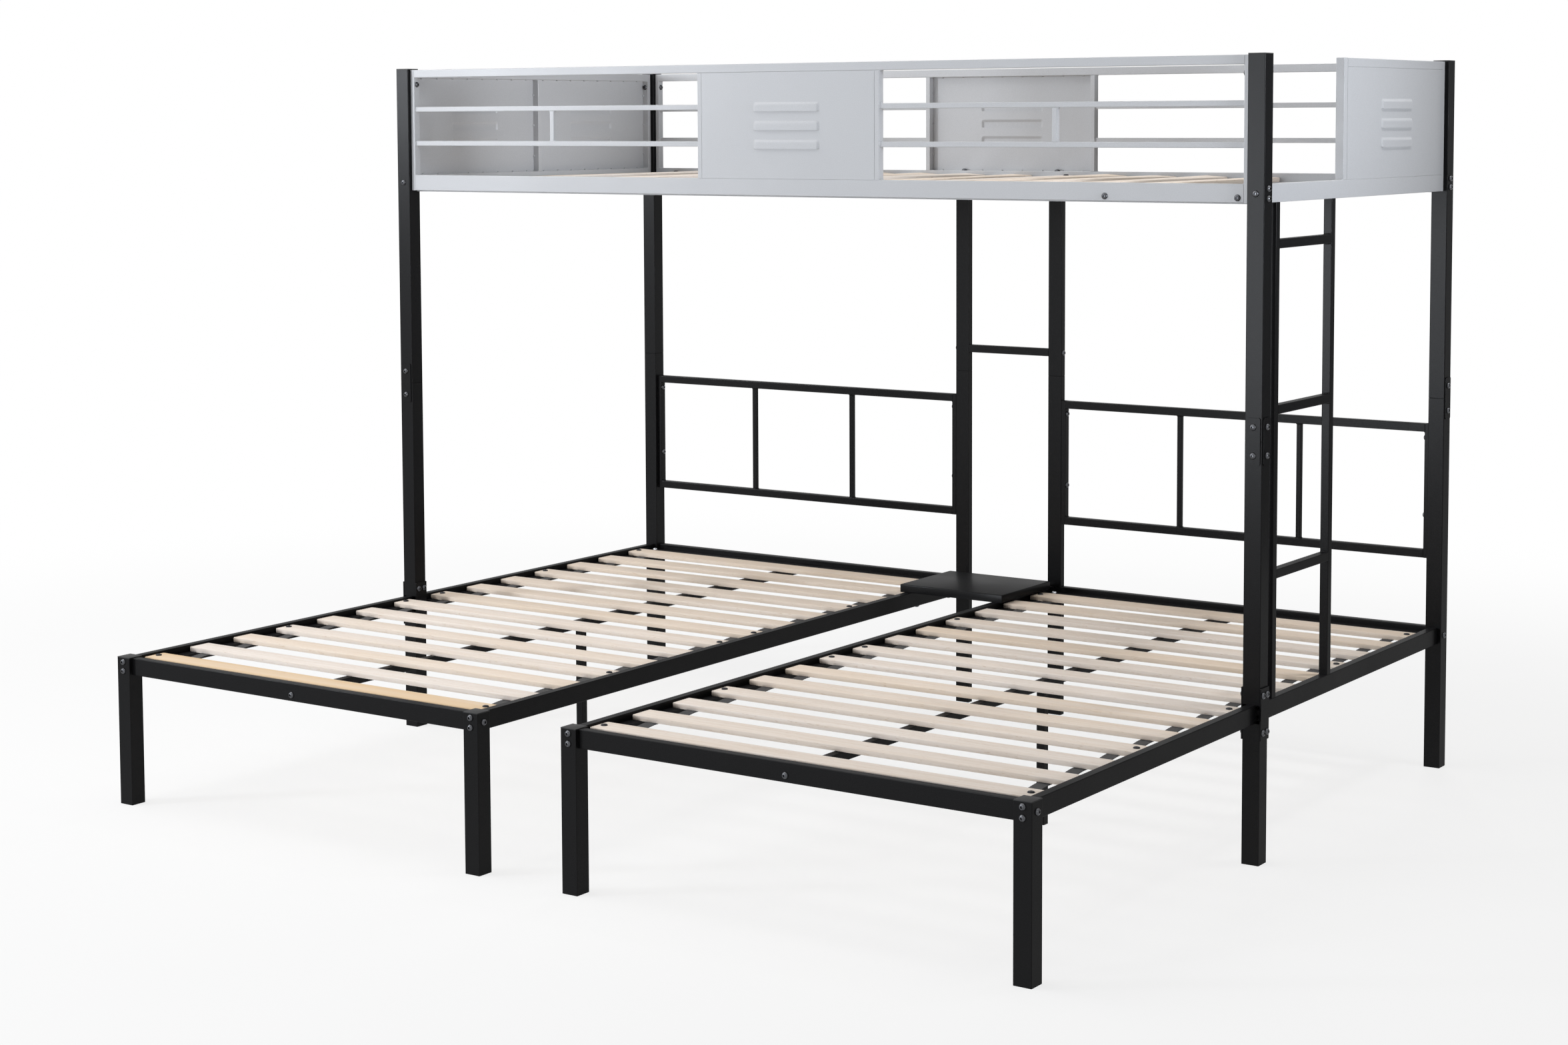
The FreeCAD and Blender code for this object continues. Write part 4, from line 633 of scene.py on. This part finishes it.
class BUNK_OT_press_panels(bpy.types.Operator):
    """Press the louvred sheets of the upper bunk's guards"""
    bl_idname = "bunk.press_panels"
    bl_label = "Press panels"

    def rim(self, half, low, top, heel, corner, segments=5):
        """Edge of a louvre, from one end of its mouth over its top to the other end."""
        left = []
        for radius, level, turn in ((heel, low + heel, 270), (corner, top - corner, 180)):
            for i in range(segments + 1):
                angle = math.radians(turn - 90 * i / segments)
                left.append((radius - half + radius * math.cos(angle), level + radius * math.sin(angle)))
        return left + [(-x, y) for x, y in reversed(left)]

    def sheet(self, wide, tall, out, sizes):
        """Sheet about the origin with its outer face on the XY plane, louvres out along +Z and open below."""
        shape = bmesh.new()
        around = ((-1, -1), (1, -1), (1, 1), (-1, 1))
        loops = [[shape.verts.new((x * wide / 2, y * tall / 2, 0.0)) for x, y in around]]
        steps = len(RISE) - 1
        for i in range(sizes.louvres):
            low = (i - (sizes.louvres - 1) / 2) * sizes.louvre_pitch - sizes.louvre_tall / 2
            foot = self.rim(sizes.louvre_long / 2, low, low + sizes.louvre_tall,
                            sizes.louvre_heel, sizes.louvre_corner)
            brow = self.rim(sizes.louvre_long / 2 - sizes.louvre_slope, low, low + sizes.louvre_face,
                            sizes.louvre_heel / 4, sizes.louvre_corner / 2)
            pairs = list(zip(foot, brow))
            rings = [[shape.verts.new((*Vector(a).lerp(b, k / steps), rise * out)) for a, b in pairs]
                     for k, rise in enumerate(RISE)]
            for inner, outer in zip(rings, rings[1:]):
                for j in range(len(foot) - 1):
                    shape.faces.new((inner[j], outer[j], outer[j + 1], inner[j + 1]))
            shape.faces.new(rings[-1])
            loops.append(rings[0])
        edges = [shape.edges.get(pair) or shape.edges.new(pair)
                 for loop in loops for pair in zip(loop, loop[1:] + loop[:1])]
        bmesh.ops.triangle_fill(shape, use_beauty=True, edges=edges, normal=(0.0, 0.0, 1.0))
        bmesh.ops.recalc_face_normals(shape, faces=shape.faces)
        if sum(face.normal.z * face.calc_area() for face in shape.faces) < 0:
            bmesh.ops.reverse_faces(shape, faces=shape.faces)
        bmesh.ops.solidify(shape, geom=shape.faces[:], thickness=sizes.sheet)
        return shape

    def execute(self, context):
        sizes = context.scene.bed_sizes
        faces = {"front_guard_panel": (1, -1, 0), "back_guard_panel": (1, 1, 180),
                 "left_end_panels": (0, -1, -90), "right_end_panel": (0, 1, 90)}
        for node, (axis, out_way, turn) in faces.items():
            shape = bmesh.new()
            for low, high in boxes(node):
                size = high - low
                out = size[axis] - sizes.sheet
                pressed = as_mesh("sheet_pattern", self.sheet(size[1 - axis], size.z, out, sizes))
                middle = (low + high) / 2
                middle[axis] = high[axis] - out if out_way > 0 else low[axis] + out
                upright = Matrix.Rotation(math.radians(turn), 4, "Z") @ Matrix.Rotation(math.pi / 2, 4, "X")
                stamp(shape, pressed, Matrix.Translation(middle) @ upright)
                bpy.data.meshes.remove(pressed)
            piece = add_piece(node + "_pressed", as_mesh(node, shape), finish("silver_powder_coat"),
                              (node,))
            # The flat sheet keeps flat shading, so that only the louvres look curved.
            for face in piece.data.polygons:
                face.use_smooth = abs(face.normal[axis]) < 0.9999
        return {"FINISHED"}


class BUNK_OT_fold_shelf(bpy.types.Operator):
    """Fold the shelf between the two lower beds"""
    bl_idname = "bunk.fold_shelf"
    bl_label = "Fold shelf"

    def execute(self, context):
        sizes = context.scene.bed_sizes
        low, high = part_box("shelf_tray")
        shape = bmesh.new()
        bmesh.ops.create_cube(shape, size=1.0, matrix=place_at(low, high))
        under = [face for face in shape.faces if face.normal.z < -0.5]
        bmesh.ops.delete(shape, geom=under, context="FACES_ONLY")
        for way in (-1, 1):
            bound = low.x if way < 0 else high.x
            rim = [edge for edge in shape.edges
                   if edge.is_boundary and all(abs(v.co.x - bound) < 1e-5 for v in edge.verts)]
            lip = bmesh.ops.extrude_edge_only(shape, edges=rim)["geom"]
            moved = [item for item in lip if isinstance(item, bmesh.types.BMVert)]
            bmesh.ops.translate(shape, verts=moved, vec=(-way * sizes.tray_lip, 0.0, 0.0))
        folds = [edge for edge in shape.edges if len(edge.link_faces) == 2]
        round_edges(shape, folds, sizes.fold, 3)
        bmesh.ops.recalc_face_normals(shape, faces=shape.faces)
        top = [face for face in shape.faces if face.calc_center_median().z > high.z - 1e-4]
        if sum(face.normal.z * face.calc_area() for face in top) < 0:
            bmesh.ops.reverse_faces(shape, faces=shape.faces)
        bmesh.ops.solidify(shape, geom=shape.faces[:], thickness=sizes.sheet)
        add_piece("shelf_tray_folded", as_mesh("shelf_tray_folded", shape), finish("black_powder_coat"),
                  ("shelf_tray",), crease=40)
        return {"FINISHED"}


class BUNK_OT_cap_posts(bpy.types.Operator):
    """Close the posts and legs with moulded caps"""
    bl_idname = "bunk.cap_posts"
    bl_label = "Cap posts"

    def execute(self, context):
        sizes = context.scene.bed_sizes
        shape = bmesh.new()
        for low, high in boxes("post_caps"):
            cap = bmesh.new()
            plate_low = Vector((low.x, low.y, high.z - sizes.cap_plate))
            bmesh.ops.create_cube(cap, size=1.0, matrix=place_at(plate_low, high))
            middle = high.z - sizes.cap_plate / 2
            rim = [edge for edge in cap.edges if max(vert.co.z for vert in edge.verts) > middle]
            round_edges(cap, rim, sizes.cap_ease, 3)
            base = [face for face in cap.faces if face.normal.z < -0.5]
            bmesh.ops.inset_region(cap, faces=base, thickness=sizes.cap_inset)
            spigot = bmesh.ops.extrude_discrete_faces(cap, faces=base)["faces"][0]
            depth = high.z - sizes.cap_plate - low.z
            bmesh.ops.translate(cap, verts=spigot.verts, vec=(0.0, 0.0, -depth))
            mesh = as_mesh("cap_pattern", cap)
            shape.from_mesh(mesh)
            bpy.data.meshes.remove(mesh)
        add_piece("post_caps_moulded", as_mesh("post_caps_moulded", shape), finish("black_plastic"),
                  ("post_caps",), crease=50)
        return {"FINISHED"}


def bead_pattern(rings=9, segments=6):
    """Weld bead of unit radius along Z from -1 to 1: a rounded ridge with the ripples of the moving arc."""
    outline = []
    for i in range(rings):
        t = -1 + 2 * i / (rings - 1)
        ripple = 1.0 if i % 2 else 0.82
        outline.append(((1 - t * t) ** 0.35 * ripple if abs(t) < 1 else 0.0, t))
    shape = lathe(outline, segments)
    bmesh.ops.recalc_face_normals(shape, faces=shape.faces)
    return as_mesh("bead_pattern", shape)


def seams(spans, slack=2e-4, ledge=0.0015):
    """Inside corners where a tube's end meets another's side: both ends of each line that a weld follows."""
    found = []
    for i, first in enumerate(spans):
        for second in spans[i + 1:]:
            for axis in range(3):
                for low_box, high_box in ((first, second), (second, first)):
                    if abs(low_box[1][axis] - high_box[0][axis]) > slack:
                        continue
                    found += corners(low_box, high_box, axis, ledge)
    return found


def corners(one, other, axis, ledge):
    """Edges of the patch where two boxes meet square to an axis and just one goes on past the edge."""
    across = [i for i in range(3) if i != axis]
    patch = [(max(one[0][i], other[0][i]), min(one[1][i], other[1][i])) for i in across]
    if any(high - low < 2 * ledge for low, high in patch):
        return []
    lines = []
    for side in (0, 1):
        u, v = across[side], across[1 - side]
        for end in (0, 1):
            edge = patch[side][end]
            past = [abs(box[end][u] - edge) > ledge for box in (one, other)]
            if past[0] == past[1]:
                continue
            start, stop = Vector(), Vector()
            start[axis] = stop[axis] = one[1][axis]
            start[u] = stop[u] = edge
            start[v], stop[v] = patch[1 - side]
            lines.append((start, stop))
    return lines


class BUNK_OT_weld_frames(bpy.types.Operator):
    """Run the weld beads where bars meet stiles, and the tacks that hold the sheets in their frames"""
    bl_idname = "bunk.weld_frames"
    bl_label = "Weld frames"

    def tacks(self, context):
        """Short welds along the inner edges of the louvred sheets."""
        sizes = context.scene.bed_sizes
        inner = {"front_guard_panel": (1, 1), "back_guard_panel": (1, 0),
                 "left_end_panels": (0, 1), "right_end_panel": (0, 0)}
        lines = []
        for node, (axis, end) in inner.items():
            along = 1 - axis
            for span in boxes(node):
                low, high = span
                spots = []
                for i in range(sizes.tacks):
                    reach = low[along] + (high[along] - low[along]) * (i + 0.5) / sizes.tacks
                    spots += [(reach, low.z, along), (reach, high.z, along)]
                for i in range(sizes.upright_tacks):
                    rise = low.z + (high.z - low.z) * (i + 0.5) / sizes.upright_tacks
                    spots += [(low[along], rise, 2), (high[along], rise, 2)]
                for reach, rise, way in spots:
                    middle = Vector((0.0, 0.0, rise))
                    middle[axis] = span[end][axis] + (end - 0.5) * sizes.weld
                    middle[along] = reach
                    half = Vector()
                    half[way] = sizes.tack / 2
                    lines.append((middle - half, middle + half))
        return lines

    def execute(self, context):
        sizes = context.scene.bed_sizes
        pattern = bead_pattern()
        silver = ("front_guard_frame", "back_guard_frame", "left_end_frame", "right_end_frame")
        black = (("left_headboard",), ("right_headboard",), ("ladder_stiles", "ladder_rungs"))
        guards = [line for node in silver for line in seams(boxes(node))]
        runs = {"silver_powder_coat": guards + self.tacks(context),
                "black_powder_coat": [line for group in black for line in seams(boxes(*group))]}
        for coat, lines in runs.items():
            shape = bmesh.new()
            for start, stop in lines:
                way = stop - start
                turn = way.to_track_quat("Z", "Y").to_matrix().to_4x4()
                size = Matrix.Diagonal((sizes.weld, sizes.weld, way.length / 2, 1.0))
                stamp(shape, pattern, Matrix.Translation((start + stop) / 2) @ turn @ size)
            add_piece(coat.split("_")[0] + "_welds", as_mesh(coat + "_welds", shape), finish(coat),
                      crease=60)
        bpy.data.meshes.remove(pattern)
        return {"FINISHED"}


# Camera, fitted to the photograph: place in metres, turns in degrees, lens and sensor in millimetres.
CAMERA_AT = (3.4254, -5.0150, 1.5163)
CAMERA_TURN = 34.610
CAMERA_DIP = 4.403
CAMERA_ROLL = -0.252
LENS = 61.98
SENSOR = 36.0
SHIFT = -0.125

# Softboxes: place, aim and size in metres, power in watts, colour, and spread in degrees.
COOL = "#f3f8ff"
WHITE = "#ffffff"
SOFTBOXES = {
    # The main light, on the posts' front faces and the left of the front guard.
    "left_softbox": ((-5.9, -5.8, 2.45), (-0.8, 0.0, 1.3), (0.95, 2.0), 252.0, COOL, 180),
    # Fills the front from low down.
    "front_softbox": ((-1.8, -6.4, 1.05), (0.8, 0.0, 1.0), (0.85, 2.3), 88.0, COOL, 180),
    # Light the slats and the floor from above.
    "top_softbox": ((-2.6, -1.4, 4.4), (-0.2, -0.3, 0.3), (3.4, 3.6), 116.0, WHITE, 180),
    "overhead_softbox": ((-0.3, -0.6, 4.6), (-0.3, -0.6, 0.0), (4.4, 3.6), 18.0, WHITE, 80),
    # Shines through the ladder's opening on the inside of the left end.
    "right_softbox": ((4.8, -0.5, 1.75), (-1.15, 0.45, 1.5), (1.4, 0.9), 5.2, COOL, 26),
    # Rakes the right end's panel, so that its louvres show.
    "end_softbox": ((2.2, 0.9, 3.6), (1.15, 0.65, 1.5), (0.5, 0.5), 3.2, WHITE, 60),
    # Fills the far side and the far slats.
    "back_softbox": ((-1.0, 5.6, 2.2), (0.3, 0.6, 0.6), (2.0, 1.6), 90.0, WHITE, 180),
}
# Gloss doesn't see this one, which would glare on the level tops.
MATT_LIGHT = "back_softbox"
# Strength of the even light from all around.
FILL = 0.04

# Dark cloth: its middle, width and height.
FLAG_AT = (4.4, 3.4, 1.4)
FLAG_SIZE = (4.4, 2.8)

# The floor keeps its shadow near the bed and fades to white between these distances from the middle.
FADE_FROM = 1.2
FADE_TO = 4.5
NEAR_WHITE = 0.78


class BUNK_OT_set_stage(bpy.types.Operator):
    """Set the pale floor, the soft studio light and the camera"""
    bl_idname = "bunk.set_stage"
    bl_label = "Set stage"

    def background_rays(self, tree):
        """Share of the rays that look at the background: from the camera, from gloss and through glass."""
        path = add(tree, "LightPath")
        seen = add(tree, "Math", {0: path.outputs["Is Camera Ray"], 1: path.outputs["Is Glossy Ray"]},
                   operation="MAXIMUM")
        return add(tree, "Math", {0: seen.outputs[0], 1: path.outputs["Is Transmission Ray"]},
                   operation="MAXIMUM").outputs[0]

    def world(self, scene):
        """White background, which gives the bed a little even light."""
        scene.world = bpy.data.worlds.new("studio")
        scene.world.use_nodes = True
        tree = scene.world.node_tree
        tree.nodes.clear()
        lighting = add(tree, "Background", {"Color": colour("#fbfbfd"), "Strength": FILL})
        white = add(tree, "Background", {"Color": (1.0, 1.0, 1.0, 1.0), "Strength": 1.0})
        both = add(tree, "MixShader", {0: self.background_rays(tree), 1: lighting.outputs[0],
                                       2: white.outputs[0]})
        add(tree, "OutputWorld", {"Surface": both.outputs[0]})

    def floor(self, scene):
        """Pale painted floor: it keeps a faint shadow and fades to the white background away from the bed."""
        shape = bmesh.new()
        bmesh.ops.create_grid(shape, x_segments=1, y_segments=1, size=30.0)
        mesh = as_mesh("studio_floor", shape)
        floor = bpy.data.objects.new("studio_floor", mesh)
        scene.collection.objects.link(floor)
        material = bpy.data.materials.new("painted_floor")
        material.use_nodes = True
        tree = material.node_tree
        tree.nodes.clear()
        where = add(tree, "TexCoord").outputs["Object"]
        paint = add(tree, "BsdfDiffuse", {"Color": scene.bed_finishes.floor})
        glow = add(tree, "Emission", {"Color": (1.0, 1.0, 1.0, 1.0), "Strength": 1.0})
        away = add(tree, "VectorMath", {0: where}, operation="LENGTH")
        fade = add(tree, "MapRange", {"Value": away.outputs["Value"], "From Min": FADE_FROM,
                                      "From Max": FADE_TO, "To Min": NEAR_WHITE},
                   interpolation_type="SMOOTHSTEP")
        share = add(tree, "Math", {0: fade.outputs[0], 1: self.background_rays(tree)}, operation="MULTIPLY")
        both = add(tree, "MixShader", {0: share.outputs[0], 1: paint.outputs[0], 2: glow.outputs[0]})
        add(tree, "OutputMaterial", {"Surface": both.outputs[0]})
        mesh.materials.append(material)

    def softbox(self, scene, name, at, target, size, power, hue, spread):
        """Soft area lamp that the camera doesn't see."""
        light = bpy.data.lights.new(name, "AREA")
        light.shape = "RECTANGLE"
        light.size, light.size_y = size
        light.energy = power
        light.color = colour(hue)[:3]
        light.spread = math.radians(spread)
        lamp = bpy.data.objects.new(name, light)
        lamp.location = at
        lamp.rotation_euler = (Vector(target) - Vector(at)).to_track_quat("-Z", "Y").to_euler()
        lamp.visible_camera = False
        lamp.visible_glossy = name != MATT_LIGHT
        scene.collection.objects.link(lamp)

    def flag(self, scene):
        """Dark studio cloth on the right, out of the picture, which keeps the posts' right faces dark."""
        shape = bmesh.new()
        upright = Matrix.Translation(FLAG_AT) @ Matrix.Rotation(math.pi / 2, 4, "X")
        hung = upright @ Matrix.Diagonal((*FLAG_SIZE, 1.0, 1.0))
        bmesh.ops.create_grid(shape, x_segments=1, y_segments=1, size=0.5, matrix=hung)
        mesh = as_mesh("studio_flag", shape)
        cloth = bpy.data.objects.new("studio_flag", mesh)
        cloth.visible_camera = False
        scene.collection.objects.link(cloth)
        material, tree, shader = surface("black_cloth", {"Roughness": 0.9, "Specular IOR Level": 0.0})
        where = add(tree, "TexCoord").outputs["Object"]
        weave = add(tree, "TexNoise", {"Vector": where, "Scale": repeats(3), "Detail": 1.0})
        base = add(tree, "Mix", {0: weave.outputs[0], 6: colour("#0c0c0c"), 7: colour("#1c1c1c")},
                   data_type="RGBA")
        tree.links.new(base.outputs[2], shader.inputs["Base Color"])
        mesh.materials.append(material)

    def camera(self, scene):
        """The photograph's own view of the bed."""
        view = bpy.data.cameras.new("view")
        view.sensor_width = SENSOR
        view.lens = LENS
        view.shift_y = SHIFT
        camera = bpy.data.objects.new("view", view)
        turn = Matrix.Rotation(math.radians(CAMERA_TURN), 4, "Z")
        dip = Matrix.Rotation(math.radians(90 - CAMERA_DIP), 4, "X")
        roll = Matrix.Rotation(math.radians(CAMERA_ROLL), 4, "Z")
        camera.matrix_world = Matrix.Translation(CAMERA_AT) @ turn @ dip @ roll
        scene.collection.objects.link(camera)
        scene.camera = camera

    def execute(self, context):
        scene = context.scene
        scene.view_settings.view_transform = "Standard"
        self.world(scene)
        self.floor(scene)
        for name, lamp in SOFTBOXES.items():
            self.softbox(scene, name, *lamp)
        self.flag(scene)
        self.camera(scene)
        return {"FINISHED"}


STEPS = (BUNK_OT_coat_frame, BUNK_OT_lay_slats, BUNK_OT_sew_straps, BUNK_OT_fit_fasteners,
         BUNK_OT_press_panels, BUNK_OT_fold_shelf, BUNK_OT_cap_posts, BUNK_OT_weld_frames, BUNK_OT_set_stage)


class BUNK_PT_panel(bpy.types.Panel):
    bl_idname = "BUNK_PT_panel"
    bl_label = "Bunk bed"
    bl_space_type = "VIEW_3D"
    bl_region_type = "UI"
    bl_category = "Bunk bed"

    def draw(self, context):
        scene = context.scene
        for kind, settings in ((BedFinishes, scene.bed_finishes), (BedSizes, scene.bed_sizes)):
            for name in kind.__annotations__:
                self.layout.prop(settings, name)
        for step in STEPS:
            self.layout.operator(step.bl_idname)


CLASSES = (BedFinishes, BedSizes, *STEPS, BUNK_PT_panel)


def register():
    for kind in CLASSES:
        bpy.utils.register_class(kind)
    bpy.types.Scene.bed_finishes = PointerProperty(type=BedFinishes)
    bpy.types.Scene.bed_sizes = PointerProperty(type=BedSizes)


def unregister():
    del bpy.types.Scene.bed_sizes
    del bpy.types.Scene.bed_finishes
    for kind in reversed(CLASSES):
        bpy.utils.unregister_class(kind)


def main():
    register()
    bpy.ops.bunk.coat_frame()
    bpy.ops.bunk.lay_slats()
    bpy.ops.bunk.sew_straps()
    bpy.ops.bunk.fit_fasteners()
    bpy.ops.bunk.press_panels()
    bpy.ops.bunk.fold_shelf()
    bpy.ops.bunk.cap_posts()
    bpy.ops.bunk.weld_frames()
    bpy.ops.bunk.set_stage()


if __name__ == "__main__":
    main()
